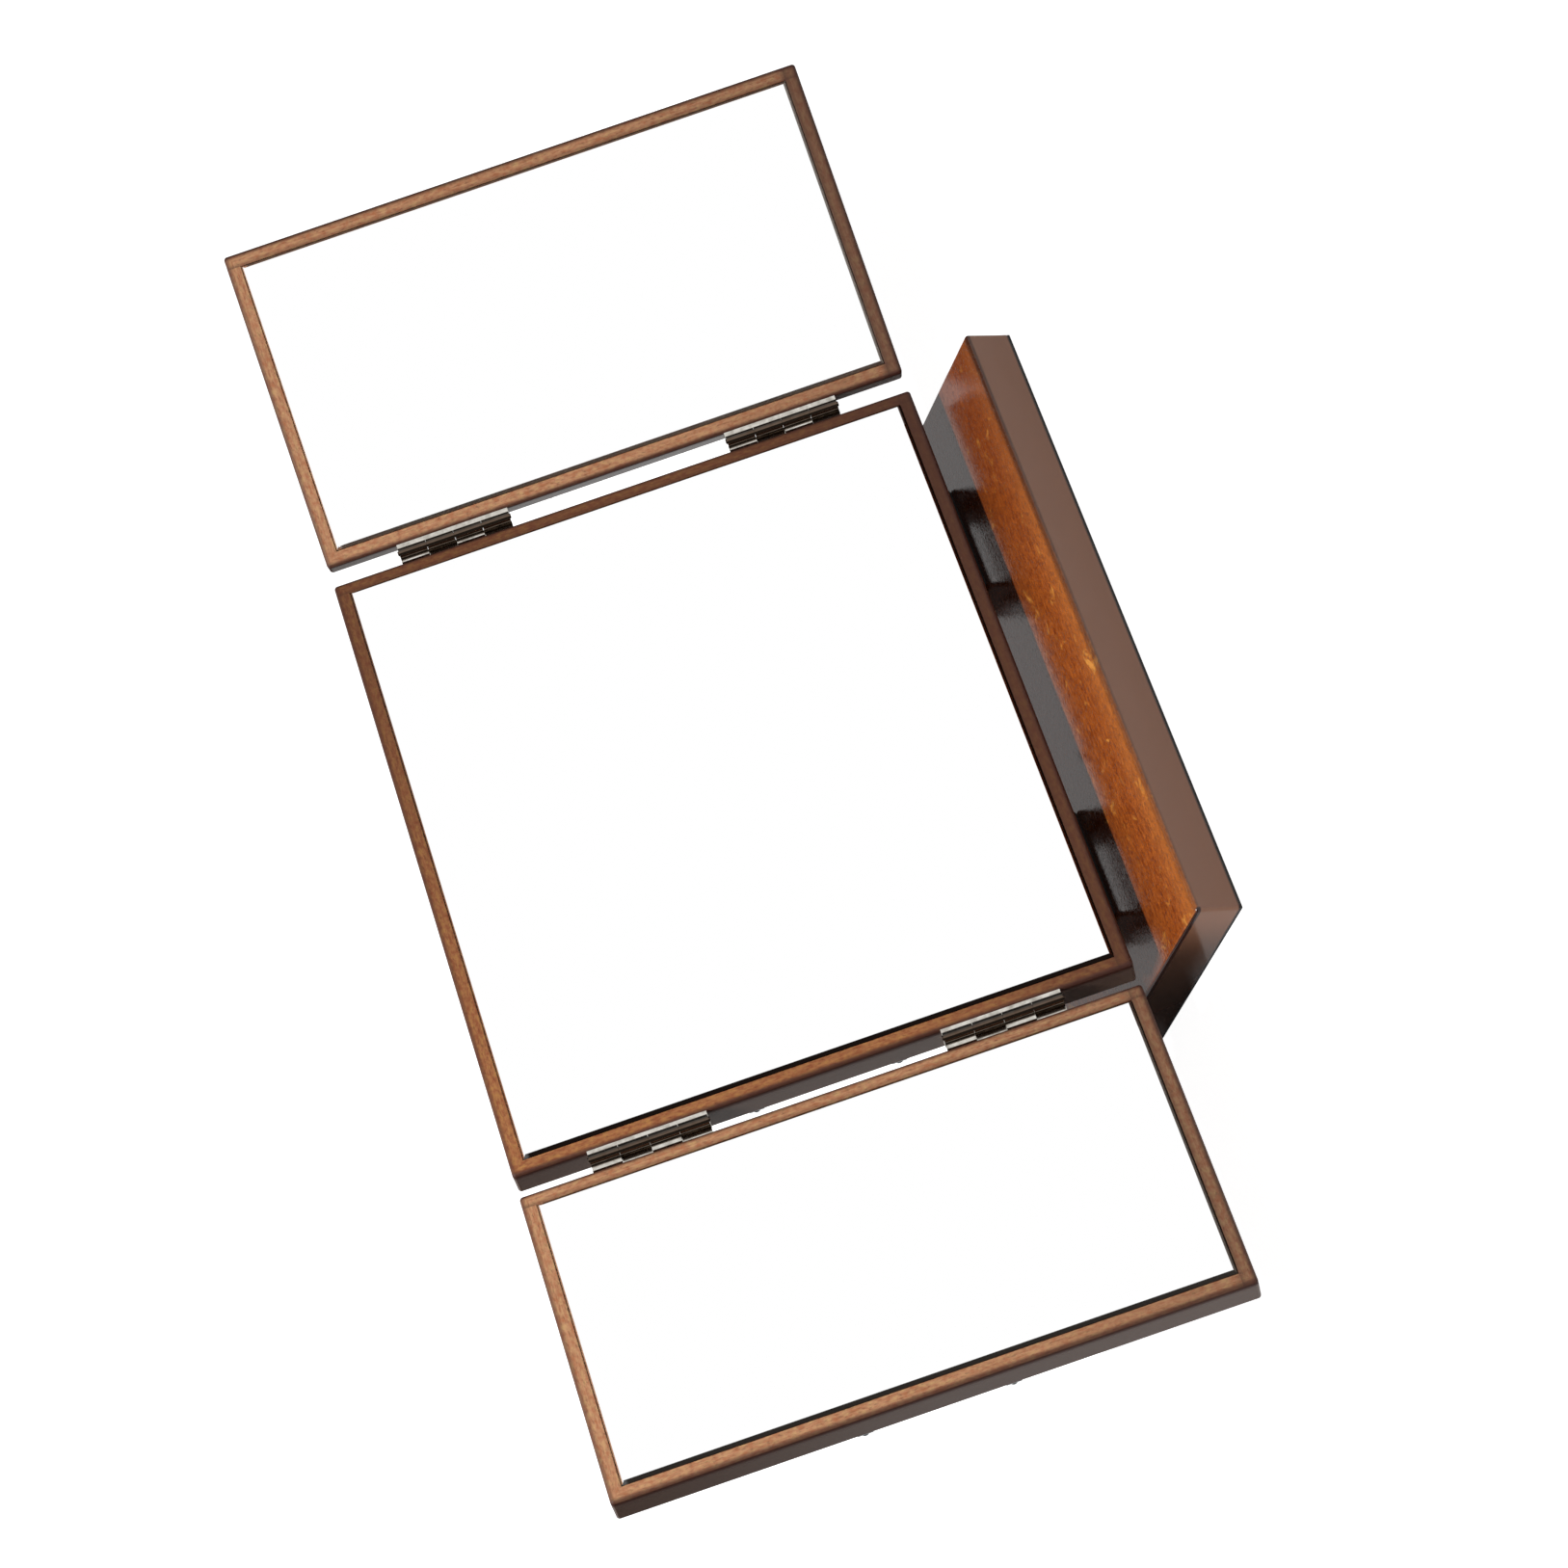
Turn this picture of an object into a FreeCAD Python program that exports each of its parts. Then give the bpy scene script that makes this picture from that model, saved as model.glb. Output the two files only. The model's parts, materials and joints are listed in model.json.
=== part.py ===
import FreeCAD, Part
import os
import Sketcher
from FreeCAD import Placement, Rotation, Vector

# A table mirror of three framed panels on a plinth. Millimetres and degrees, +Z up, +Y to the back.
# The origin is the middle of the felt's underside. The panels are drawn flat and upright, each about the
# middle of the lower edge of its front face, with +Y into the panel, and are then placed as they stand.

SIZES = {
    # panels
    "panel_height": 260.0,
    "centre_width": 303.4,
    "wing_width": 143.3,
    "left_gap": 9.4,
    "right_gap": 8.2,
    "panel_depth": 13.4,
    "face_width": 6.0,
    "wall_width": 4.2,
    "corner_radius": 1.5,
    "arris_radius": 1.5,
    "back_arris": 0.6,
    "sight_arris": 0.4,
    "glass_proud": 1.0,
    "glass_depth": 3.0,
    "glass_bevel": 1.3,
    "glass_clearance": 0.25,
    "backing_clearance": 0.3,
    # how the panels stand
    "rest_tilt": 28.0,
    "left_swing": 2.5,
    "right_swing": 26.5,
    # plinth
    "base_width": 304.0,
    "base_depth": 160.0,
    "base_height": 19.9,
    "base_corner": 1.5,
    "base_round": 1.3,
    "base_foot_round": 0.6,
    "felt_depth": 1.0,
    "felt_inset": 0.4,
    # tilt hinges
    "bracket_setback": 65.5,
    "bracket_width": 54.0,
    "bracket_metal": 2.5,
    "ear_depth": 21.0,
    "ear_corner": 9.0,
    "pivot_from_front": 66.7,
    "pivot_height": 17.5,
    "pivot_behind": 13.5,
    "pivot_rise": 17.8,
    "arm_metal": 2.5,
    "arm_height": 38.0,
    "arm_foot": 9.5,
    "lug_radius": 8.0,
    "washer_depth": 1.0,
    "washer_diameter": 14.0,
    "arm_clearance": 0.15,
    "bolt_diameter": 6.0,
    "bolt_head_diameter": 11.0,
    "bolt_head_height": 3.2,
    "bolt_end": 1.2,
    "nut_width": 10.0,
    "nut_height": 5.0,
    "running_clearance": 0.05,
    "bracket_screw_diameter": 3.5,
    "bracket_screw_head": 6.5,
    "bracket_screw_length": 16.0,
    "bracket_screw_across": 32.0,
    "bracket_screw_along": 11.0,
    "arm_screw_diameter": 3.0,
    "arm_screw_head": 5.6,
    "arm_screw_length": 8.5,
    "arm_screw_across": 28.0,
    "arm_screw_rise": 22.0,
    "arm_screw_foot": 8.0,
    # wing hinges
    "hinge_length": 50.0,
    "hinge_setback": 31.0,
    "hinge_proud": 1.3,
    "leaf_metal": 1.2,
    "leaf_margin": 1.1,
    "barrel_diameter": 4.4,
    "barrel_clearance": 0.35,
    "lip_end": 0.8,
    "pin_diameter": 2.2,
    "pin_end": 0.5,
    "knuckle_clearance": 0.2,
    "hinge_screw_diameter": 2.4,
    "hinge_screw_head": 4.2,
    "hinge_screw_length": 4.6,
    "hinge_screw_pitch": 17.0,
    # turn buttons
    "button_length": 17.0,
    "button_width": 6.4,
    "button_metal": 1.2,
    "button_screw_diameter": 1.8,
    "button_screw_head": 3.6,
    "button_screw_head_height": 1.1,
    "button_screw_length": 6.5,
    "button_end_spread": 76.0,
    "button_side_spread": 60.0,
    # screws
    "thread_clearance": 0.02,
    "slot_width": 0.7,
    "slot_share_of_head": 0.4,
}
KNUCKLES = 4
SCREWS_PER_LEAF = 3
SEAT_DEPTH = "(Sizes.glass_depth - Sizes.glass_proud)"
BRACKET_ACROSS = "(Sizes.base_width / 2 - Sizes.bracket_setback)"

doc = FreeCAD.newDocument("triptych_mirror")
sheet = doc.addObject("Spreadsheet::Sheet", "Sizes")
for row, (name, value) in enumerate(SIZES.items(), start=1):
    sheet.set(f"A{row}", name)
    sheet.set(f"B{row}", str(value))
    sheet.setAlias(f"B{row}", name)
doc.recompute()

nodes = []


def number(text):
    """The value of an expression on the sheet's sizes."""
    return float(sheet.evalExpression(text))


def size(name):
    """The value of one size of the sheet."""
    return float(sheet.get(name))


def keep(item, label, placement):
    """Names an object as a sub-part, places it and lists it for writing."""
    item.Label = label
    item.Placement = placement
    nodes.append(item)
    return item


# Sketches and features

def origin_plane(body, role):
    """The body's own origin plane with this role."""
    return next(item for item in body.Origin.OriginFeatures if item.Role == role)


def new_body(name):
    """An empty body."""
    return doc.addObject("PartDesign::Body", name)


def new_sketch(body, role, offset=None):
    """An empty sketch on an origin plane, moved along the plane's normal by an expression."""
    sketch = body.newObject("Sketcher::SketchObject", "Sketch")
    sketch.AttachmentSupport = [(origin_plane(body, role), "")]
    sketch.MapMode = "FlatFace"
    if offset:
        sketch.setExpression("AttachmentOffset.Base.z", offset)
    return sketch


def hold(sketch, geometry, vertex, across, up):
    """Ties one sketch point to two expressions, measured from the sketch's origin."""
    for kind, text, axis in (("DistanceX", across, -2), ("DistanceY", up, -1)):
        if text == "0":
            sketch.addConstraint(Sketcher.Constraint("PointOnObject", geometry, vertex, axis))
        else:
            index = sketch.addConstraint(Sketcher.Constraint(kind, -1, 1, geometry, vertex, number(text)))
            sketch.setExpression(f"Constraints[{index}]", text)


def draw_polygon(sketch, corners):
    """Draws a closed outline through corners given as pairs of expressions."""
    first = sketch.GeometryCount
    spots = [Vector(number(across), number(up), 0) for across, up in corners]
    for start, end in zip(spots, spots[1:] + spots[:1]):
        sketch.addGeometry(Part.LineSegment(start, end))
    count = len(corners)
    for index, (across, up) in enumerate(corners):
        following = first + (index + 1) % count
        sketch.addConstraint(Sketcher.Constraint("Coincident", first + index, 2, following, 1))
        hold(sketch, first + index, 1, across, up)


def draw_rectangle(sketch, left, right, low, high):
    """Draws a rectangle between four expressions."""
    draw_polygon(sketch, [(left, low), (right, low), (right, high), (left, high)])


def draw_circle(sketch, across, up, diameter):
    """Draws a circle about a point given by two expressions."""
    centre = Vector(number(across), number(up), 0)
    index = sketch.addGeometry(Part.Circle(centre, Vector(0, 0, 1), number(diameter) / 2))
    hold(sketch, index, 3, across, up)
    rule = sketch.addConstraint(Sketcher.Constraint("Diameter", index, number(diameter)))
    sketch.setExpression(f"Constraints[{rule}]", diameter)


def pad(body, sketch, length, reverse=False, symmetric=False):
    """Pads a sketch by an expression."""
    feature = body.newObject("PartDesign::Pad", "Pad")
    feature.Profile = sketch
    feature.setExpression("Length", length)
    feature.Reversed = reverse
    if symmetric:
        feature.SideType = "Symmetric"
    doc.recompute()
    return feature


def pocket(body, sketch, length=None, reverse=False, symmetric=False):
    """Cuts a sketch into the body, through all of it where no length is given, and checks that it cut."""
    before = body.Shape.Volume
    feature = body.newObject("PartDesign::Pocket", "Pocket")
    feature.Profile = sketch
    if length is None:
        feature.Type = "ThroughAll"
    else:
        feature.setExpression("Length", length)
    feature.Reversed = reverse
    if symmetric:
        feature.SideType = "Symmetric"
    doc.recompute()
    if body.Shape.Volume >= before:
        raise RuntimeError(f"{body.Name}: a pocket cut nothing")
    return feature


def revolve(body, sketch):
    """Turns a sketch about the upright axis of its own plane."""
    feature = body.newObject("PartDesign::Revolution", "Revolution")
    feature.Profile = sketch
    feature.ReferenceAxis = (sketch, ["V_Axis"])
    feature.Angle = 360.0
    doc.recompute()
    return feature


def dress(body, kind, amount, chosen):
    """Rounds or bevels the edges of the body that a test picks out."""
    edges = [f"Edge{index}" for index, edge in enumerate(body.Shape.Edges, start=1) if chosen(edge)]
    base = body.Tip
    feature = body.newObject(f"PartDesign::{kind}", kind)
    feature.Base = (base, edges)
    feature.setExpression("Radius" if kind == "Fillet" else "Size", amount)
    doc.recompute()
    return feature


def runs_along(edge, axis):
    """Whether a straight edge runs along X, Y or Z."""
    if not isinstance(edge.Curve, Part.Line):
        return False
    return abs(getattr(edge.Curve.Direction, axis)) > 0.999


def lies_at(edge, axis, level):
    """Whether an edge lies wholly at one level of X, Y or Z."""
    return all(abs(getattr(vertex.Point, axis) - level) < 1e-4 for vertex in edge.Vertexes)


def group(label, master, places, pose):
    """One node of several equal solids, copies of a master at places within a pose."""
    copies = []
    for place in places:
        copy = master.Shape.copy()
        copy.Placement = place
        copies.append(copy)
    item = doc.addObject("Part::Feature", label)
    item.Shape = Part.makeCompound(copies)
    return keep(item, label, pose)


def screw_body(name, screw, head_height, countersunk):
    """A slotted screw that points down from the origin, its head's face at z = 0 or, if raised, above it."""
    body = new_body(name)
    sketch = new_sketch(body, "XZ_Plane")
    head = f"Sizes.{screw}_head / 2"
    shank = f"Sizes.{screw}_diameter / 2"
    end = f"-Sizes.{screw}_length"
    tip = f"{end} + Sizes.{screw}_diameter"
    if countersunk:
        profile = [("0", "0"), (head, "0"), (shank, f"-({head_height})")]
    else:
        crown = f"Sizes.{screw}_head / 4"
        profile = [("0", head_height), (crown, head_height), (head, f"({head_height}) / 2"), (head, "0"), (shank, "0")]
    draw_polygon(sketch, profile + [(shank, tip), ("0", end)])
    revolve(body, sketch)
    slot = new_sketch(body, "XY_Plane", None if countersunk else head_height)
    reach = f"Sizes.{screw}_head"
    draw_rectangle(slot, f"-{reach}", reach, "-Sizes.slot_width / 2", "Sizes.slot_width / 2")
    pocket(body, slot, f"({head_height}) * Sizes.slot_share_of_head")
    return body


# How the panels stand

TILT = Rotation(Vector(1, 0, 0), -size("rest_tilt"))
base_top = size("felt_depth") + size("base_height")
base_front = -size("base_depth") / 2
pivot = Vector(0, base_front + size("pivot_from_front"), base_top + size("pivot_height"))
pivot_on_panel = Vector(0, size("panel_depth") + size("pivot_behind"), size("pivot_rise"))
CENTRE = Placement(pivot - TILT.multVec(pivot_on_panel), TILT)
OUTWARD = {"left": -1, "right": 1}


def hinge_across(wing):
    """Where a wing's hinge axis lies across the centre panel."""
    return OUTWARD[wing] * (size("centre_width") + size(f"{wing}_gap")) / 2


def swung(wing):
    """The turn that swings a wing forward about its hinge axis to where it rests."""
    axis = Vector(hinge_across(wing), -size("hinge_proud"), 0)
    turn = Rotation(Vector(0, 0, 1), -OUTWARD[wing] * size(f"{wing}_swing"))
    return CENTRE.multiply(Placement(Vector(), turn, axis))


def wing_pose(wing):
    """The pose of a wing's panel at rest."""
    across = OUTWARD[wing] * (size("centre_width") / 2 + size(f"{wing}_gap") + size("wing_width") / 2)
    return WINGS[wing].multiply(Placement(Vector(across, 0, 0), Rotation()))


WINGS = {wing: swung(wing) for wing in OUTWARD}
PANELS = {
    "centre": ("centre_width", CENTRE),
    "left": ("wing_width", wing_pose("left")),
    "right": ("wing_width", wing_pose("right")),
}
HINGED_SIDES = {"centre": (-1, 1), "left": (1,), "right": (-1,)}
END_BUTTONS = {"centre": (-1, 1), "left": (0,), "right": (0,)}
HINGE_FEET = {
    "lower": "Sizes.hinge_setback",
    "upper": "Sizes.panel_height - Sizes.hinge_setback - Sizes.hinge_length",
}


# Plinth

def build_base():
    """The lacquered board with pilot holes for the brackets, and the felt under it."""
    board = new_body("base_board")
    outline = new_sketch(board, "XY_Plane", "Sizes.felt_depth")
    half_width, half_depth = "Sizes.base_width / 2", "Sizes.base_depth / 2"
    draw_rectangle(outline, f"-{half_width}", half_width, f"-{half_depth}", half_depth)
    pad(board, outline, "Sizes.base_height")
    dress(board, "Fillet", "Sizes.base_corner", lambda edge: runs_along(edge, "z"))
    dress(board, "Fillet", "Sizes.base_round", lambda edge: lies_at(edge, "z", base_top))
    dress(board, "Fillet", "Sizes.base_foot_round", lambda edge: lies_at(edge, "z", size("felt_depth")))
    pilots = new_sketch(board, "XY_Plane", "Sizes.felt_depth + Sizes.base_height")
    for side in (-1, 1):
        for across in (-1, 1):
            for along in (-1, 1):
                draw_circle(
                    pilots,
                    f"{side} * {BRACKET_ACROSS} + {across} * Sizes.bracket_screw_across / 2",
                    f"Sizes.pivot_from_front - Sizes.base_depth / 2 + {along} * Sizes.bracket_screw_along / 2",
                    "Sizes.bracket_screw_diameter + 2 * Sizes.thread_clearance",
                )
    pocket(board, pilots, "Sizes.bracket_screw_length - Sizes.bracket_metal + Sizes.thread_clearance")
    keep(board, "base_board", Placement())

    felt = new_body("base_felt")
    sheet_outline = new_sketch(felt, "XY_Plane")
    half_width, half_depth = f"({half_width} - Sizes.felt_inset)", f"({half_depth} - Sizes.felt_inset)"
    draw_rectangle(sheet_outline, f"-{half_width}", half_width, f"-{half_depth}", half_depth)
    pad(felt, sheet_outline, "Sizes.felt_depth")
    keep(felt, "base_felt", Placement())


# Tilt hinges

BRACKET_HEAD = "(Sizes.bracket_screw_head - Sizes.bracket_screw_diameter) / 2"
ARM_HEAD = "(Sizes.arm_screw_head - Sizes.arm_screw_diameter) / 2"
EAR_INSIDE = "(Sizes.bracket_width - 2 * Sizes.bracket_metal)"
ARM_WIDTH = f"({EAR_INSIDE} - 2 * Sizes.washer_depth - 2 * Sizes.arm_clearance)"
BORE = "Sizes.bolt_diameter + 2 * Sizes.running_clearance"


def build_bracket(name, pose):
    """A U bracket on the plinth: a foot plate and two ears, drawn about the pivot's foot on the plinth."""
    body = new_body(name)
    side_view = new_sketch(body, "YZ_Plane")
    top = "Sizes.pivot_height + Sizes.ear_corner"
    draw_rectangle(side_view, "-Sizes.ear_depth / 2", "Sizes.ear_depth / 2", "0", top)
    pad(body, side_view, "Sizes.bracket_width", symmetric=True)
    dress(body, "Fillet", "Sizes.ear_corner",
          lambda edge: runs_along(edge, "x") and lies_at(edge, "z", number(top)))
    dress(body, "Fillet", "Sizes.bracket_metal", lambda edge: runs_along(edge, "y") and lies_at(edge, "z", 0))
    gap = new_sketch(body, "XZ_Plane")
    draw_rectangle(gap, f"-{EAR_INSIDE} / 2", f"{EAR_INSIDE} / 2", "Sizes.bracket_metal", f"{top} + Sizes.bracket_metal")
    pocket(body, gap, symmetric=True)
    bore = new_sketch(body, "YZ_Plane")
    draw_circle(bore, "0", "Sizes.pivot_height", BORE)
    pocket(body, bore, symmetric=True)
    holes = new_sketch(body, "XY_Plane")
    hole = "Sizes.bracket_screw_diameter + 2 * Sizes.thread_clearance"
    for across in (-1, 1):
        for along in (-1, 1):
            draw_circle(holes, f"{across} * Sizes.bracket_screw_across / 2",
                        f"{along} * Sizes.bracket_screw_along / 2", hole)
    pocket(body, holes, "Sizes.bracket_metal", reverse=True)
    dress(body, "Chamfer", BRACKET_HEAD,
          lambda edge: isinstance(edge.Curve, Part.Circle) and lies_at(edge, "z", size("bracket_metal")))
    return keep(body, name, pose)


def build_arm(name, pose):
    """An arm on the back of the centre panel: a leaf with two lugs, drawn about the pivot, on the flat panel."""
    body = new_body(name)
    side_view = new_sketch(body, "YZ_Plane")
    back, foot = "-Sizes.pivot_behind", "Sizes.arm_foot - Sizes.pivot_rise"
    draw_polygon(side_view, [
        (back, foot),
        ("0", "-Sizes.lug_radius"),
        ("Sizes.lug_radius", "-Sizes.lug_radius"),
        ("Sizes.lug_radius", "Sizes.lug_radius"),
        ("0", "Sizes.lug_radius"),
        (f"{back} + Sizes.arm_metal", f"{foot} + Sizes.arm_height"),
        (back, f"{foot} + Sizes.arm_height"),
    ])
    pad(body, side_view, ARM_WIDTH, symmetric=True)
    end = size("lug_radius")
    dress(body, "Fillet", "Sizes.lug_radius * 0.98", lambda edge: runs_along(edge, "x") and lies_at(edge, "y", end))
    gap = new_sketch(body, "XY_Plane")
    inside = f"({ARM_WIDTH} / 2 - Sizes.arm_metal)"
    draw_rectangle(gap, f"-{inside}", inside, f"{back} + Sizes.arm_metal", "2 * Sizes.lug_radius")
    pocket(body, gap, symmetric=True)
    bore = new_sketch(body, "YZ_Plane")
    draw_circle(bore, "0", "0", BORE)
    pocket(body, bore, symmetric=True)
    holes = new_sketch(body, "XZ_Plane", "Sizes.pivot_behind")
    for across in (-1, 1):
        for level in (0, 1):
            draw_circle(holes, f"{across} * Sizes.arm_screw_across / 2",
                        f"{foot} + Sizes.arm_screw_foot + {level} * Sizes.arm_screw_rise",
                        "Sizes.arm_screw_diameter + 2 * Sizes.thread_clearance")
    pocket(body, holes, "Sizes.arm_metal")
    inner = number(f"{back} + Sizes.arm_metal")
    dress(body, "Chamfer", ARM_HEAD,
          lambda edge: isinstance(edge.Curve, Part.Circle) and lies_at(edge, "y", inner))
    return keep(body, name, pose)


def build_bolt(name, pose):
    """The pivot bolt along X, its domed head outside the left ear."""
    body = new_body(name)
    sketch = new_sketch(body, "XZ_Plane")
    head, shank = "Sizes.bolt_head_diameter / 2", "Sizes.bolt_diameter / 2"
    face = "-Sizes.bracket_width / 2"
    top = f"{face} - Sizes.bolt_head_height"
    end = "Sizes.bracket_width / 2 + Sizes.nut_height + Sizes.bolt_end"
    draw_polygon(sketch, [
        ("0", top),
        (f"{head} / 2", top),
        (head, f"{face} - Sizes.bolt_head_height / 2"),
        (head, face),
        (shank, face),
        (shank, f"{end} - Sizes.bolt_end / 2"),
        (f"{shank} - Sizes.bolt_end / 2", end),
        ("0", end),
    ])
    revolve(body, sketch)
    return keep(body, name, pose.multiply(Placement(Vector(), Rotation(Vector(0, 1, 0), 90))))


def build_nut(name, pose):
    """The hexagon lock nut outside the right ear."""
    prism = doc.addObject("Part::Prism", f"{name}_hexagon")
    prism.Polygon = 6
    prism.setExpression("Circumradius", "Sizes.nut_width / 2 / cos(30 deg)")
    prism.setExpression("Height", "Sizes.nut_height")
    bore = doc.addObject("Part::Cylinder", f"{name}_bore")
    bore.setExpression("Radius", f"({BORE}) / 2")
    bore.setExpression("Height", "Sizes.nut_height")
    nut = doc.addObject("Part::Cut", name)
    nut.Base, nut.Tool = prism, bore
    face = Placement(Vector(size("bracket_width") / 2, 0, 0), Rotation(Vector(0, 1, 0), 90))
    return keep(nut, name, pose.multiply(face))


def build_washers(name, pose):
    """The two friction washers, each against the inside of an ear."""
    disc = doc.addObject("Part::Cylinder", f"{name}_disc")
    disc.setExpression("Radius", "Sizes.washer_diameter / 2")
    disc.setExpression("Height", "Sizes.washer_depth")
    bore = doc.addObject("Part::Cylinder", f"{name}_bore")
    bore.setExpression("Radius", f"({BORE}) / 2")
    bore.setExpression("Height", "Sizes.washer_depth")
    washer = doc.addObject("Part::Cut", f"{name}_washer")
    washer.Base, washer.Tool = disc, bore
    doc.recompute()
    inside = number(EAR_INSIDE) / 2
    places = [Placement(Vector(side * inside, 0, 0), Rotation(Vector(0, 1, 0), -side * 90)) for side in (-1, 1)]
    return group(name, washer, places, pose)


def build_tilt_hinges():
    """Both tilt hinges with their screws."""
    foot_places = []
    arm_places = []
    for label, side in (("left", -1), ("right", 1)):
        across = Vector(side * number(BRACKET_ACROSS), 0, 0)
        on_base = Placement(across + Vector(0, pivot.y, base_top), Rotation())
        at_pivot = Placement(across + pivot, Rotation())
        on_panel = CENTRE.multiply(Placement(across + pivot_on_panel, Rotation()))
        build_bracket(f"tilt_bracket_{label}", on_base)
        build_arm(f"tilt_arm_{label}", on_panel)
        build_bolt(f"tilt_bolt_{label}", at_pivot)
        build_nut(f"tilt_nut_{label}", at_pivot)
        build_washers(f"tilt_washers_{label}", at_pivot)
        for x in (-1, 1):
            for along in (-1, 1):
                spot = Vector(x * size("bracket_screw_across") / 2, along * size("bracket_screw_along") / 2,
                              size("bracket_metal"))
                foot_places.append(on_base.multiply(Placement(spot, Rotation())))
            for level in (0, 1):
                rise = size("arm_foot") + size("arm_screw_foot") + level * size("arm_screw_rise")
                spot = Vector(x * size("arm_screw_across") / 2, size("panel_depth") + size("arm_metal"), rise)
                arm_places.append(Placement(across + spot, Rotation(Vector(1, 0, 0), -90)))
    bracket_screw = screw_body("bracket_screw", "bracket_screw", BRACKET_HEAD, True)
    arm_screw = screw_body("arm_screw", "arm_screw", ARM_HEAD, True)
    group("bracket_screws", bracket_screw, foot_places, Placement())
    group("arm_screws", arm_screw, arm_places, CENTRE)


# Panels

def button_spots(panel, width):
    """Places of the turn buttons' screws on a panel's back: two expressions and the angle about its normal."""
    half, height, inset = f"Sizes.{width} / 2", "Sizes.panel_height", "Sizes.wall_width / 2"
    spots = []
    for share in END_BUTTONS[panel]:
        across = f"{share} * Sizes.button_end_spread / 2"
        spots.append((across, inset, 0))
        spots.append((across, f"{height} - {inset}", 180))
    for share in (-1, 1):
        rise = f"{height} / 2 + {share} * Sizes.button_side_spread / 2"
        spots.append((f"{inset} - {half}", rise, 90))
        spots.append((f"{half} - {inset}", rise, -90))
    return spots


def build_frame_ring(panel, width):
    """The whole frame of one panel before it is parted at the mitres, with its rebate and pilot holes."""
    body = new_body(f"{panel}_frame_ring")
    half, height = f"Sizes.{width} / 2", "Sizes.panel_height"
    face, wall = "Sizes.face_width", "Sizes.wall_width"
    outline = new_sketch(body, "XZ_Plane")
    draw_rectangle(outline, f"-{half}", half, "0", height)
    pad(body, outline, "Sizes.panel_depth", reverse=True)
    dress(body, "Fillet", "Sizes.corner_radius", lambda edge: runs_along(edge, "y"))
    dress(body, "Fillet", "Sizes.arris_radius", lambda edge: lies_at(edge, "y", 0))
    dress(body, "Fillet", "Sizes.back_arris", lambda edge: lies_at(edge, "y", size("panel_depth")))
    opening = new_sketch(body, "XZ_Plane")
    draw_rectangle(opening, f"-({half} - {face})", f"{half} - {face}", face, f"{height} - {face}")
    pocket(body, opening)
    inner = size(width) / 2 - size("face_width") + 1e-3
    dress(body, "Fillet", "Sizes.sight_arris",
          lambda edge: lies_at(edge, "y", 0) and all(
              abs(v.X) < inner and size("face_width") - 1e-3 < v.Z < size("panel_height") - size("face_width") + 1e-3
              for v in edge.Vertexes))
    rebate = new_sketch(body, "XZ_Plane", f"-{SEAT_DEPTH}")
    draw_rectangle(rebate, f"-({half} - {wall})", f"{half} - {wall}", wall, f"{height} - {wall}")
    pocket(body, rebate)
    pilots = new_sketch(body, "XZ_Plane", "-Sizes.panel_depth")
    hole = "Sizes.button_screw_diameter + 2 * Sizes.thread_clearance"
    for across, rise, _ in button_spots(panel, width):
        draw_circle(pilots, across, rise, hole)
    pocket(body, pilots, "Sizes.button_screw_length - Sizes.button_metal + Sizes.thread_clearance", reverse=True)
    for side in HINGED_SIDES[panel]:
        holes = new_sketch(body, "YZ_Plane", f"{side} * {half}")
        for foot in HINGE_FEET.values():
            for step in range(SCREWS_PER_LEAF):
                draw_circle(holes, LEAF_MIDDLE, f"{foot} + {screw_rise(step)}",
                            "Sizes.hinge_screw_diameter + 2 * Sizes.thread_clearance")
        pocket(body, holes, "Sizes.hinge_screw_length - Sizes.leaf_metal + Sizes.thread_clearance", reverse=side < 0)
    return body


def build_rails(panel, width, ring, pose):
    """The four mitred bars of a frame: the ring parted by a wedge for each bar."""
    middle = Placement(Vector(0, 0, size("panel_height") / 2), Rotation())
    bars = (
        ("bottom_rail", 0, width, "panel_height"),
        ("right_stile", -90, "panel_height", width),
        ("top_rail", 180, width, "panel_height"),
        ("left_stile", 90, "panel_height", width),
    )
    for bar, angle, length, span in bars:
        wedge = doc.addObject("Part::Wedge", f"{panel}_{bar}_mitres")
        inward = "(Sizes.face_width + Sizes.wall_width)"
        half = f"Sizes.{length} / 2"
        for side, sign in (("min", "-"), ("max", "")):
            wedge.setExpression(f"X{side}", f"{sign}({half})")
            wedge.setExpression(f"X2{side}", f"{sign}({half} - {inward})")
        wedge.Ymin = 0
        wedge.setExpression("Ymax", inward)
        for low in ("Zmin", "Z2min"):
            wedge.setExpression(low, "-2 * Sizes.panel_depth")
        for high in ("Zmax", "Z2max"):
            wedge.setExpression(high, "Sizes.panel_depth")
        to_edge = Placement(Vector(0, 0, -size(span) / 2), Rotation(Vector(1, 0, 0), 90))
        turn = Placement(Vector(), Rotation(Vector(0, 1, 0), angle))
        wedge.Placement = middle.multiply(turn).multiply(to_edge)
        common = doc.addObject("Part::Common", f"{panel}_{bar}")
        common.Base, common.Tool = ring, wedge
        keep(common, f"{panel}_{bar}", pose)


def build_glass(label, width, pose):
    """A bevelled mirror glass in the opening of the frame, its face a little proud of the wood."""
    body = new_body(label)
    edge = "(Sizes.face_width + Sizes.glass_clearance)"
    half = f"(Sizes.{width} / 2 - {edge})"
    outline = new_sketch(body, "XZ_Plane", "Sizes.glass_proud")
    draw_rectangle(outline, f"-{half}", half, edge, f"Sizes.panel_height - {edge}")
    pad(body, outline, "Sizes.glass_depth", reverse=True)
    dress(body, "Chamfer", "Sizes.glass_bevel", lambda pane_edge: lies_at(pane_edge, "y", -size("glass_proud")))
    return keep(body, label, pose)


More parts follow.
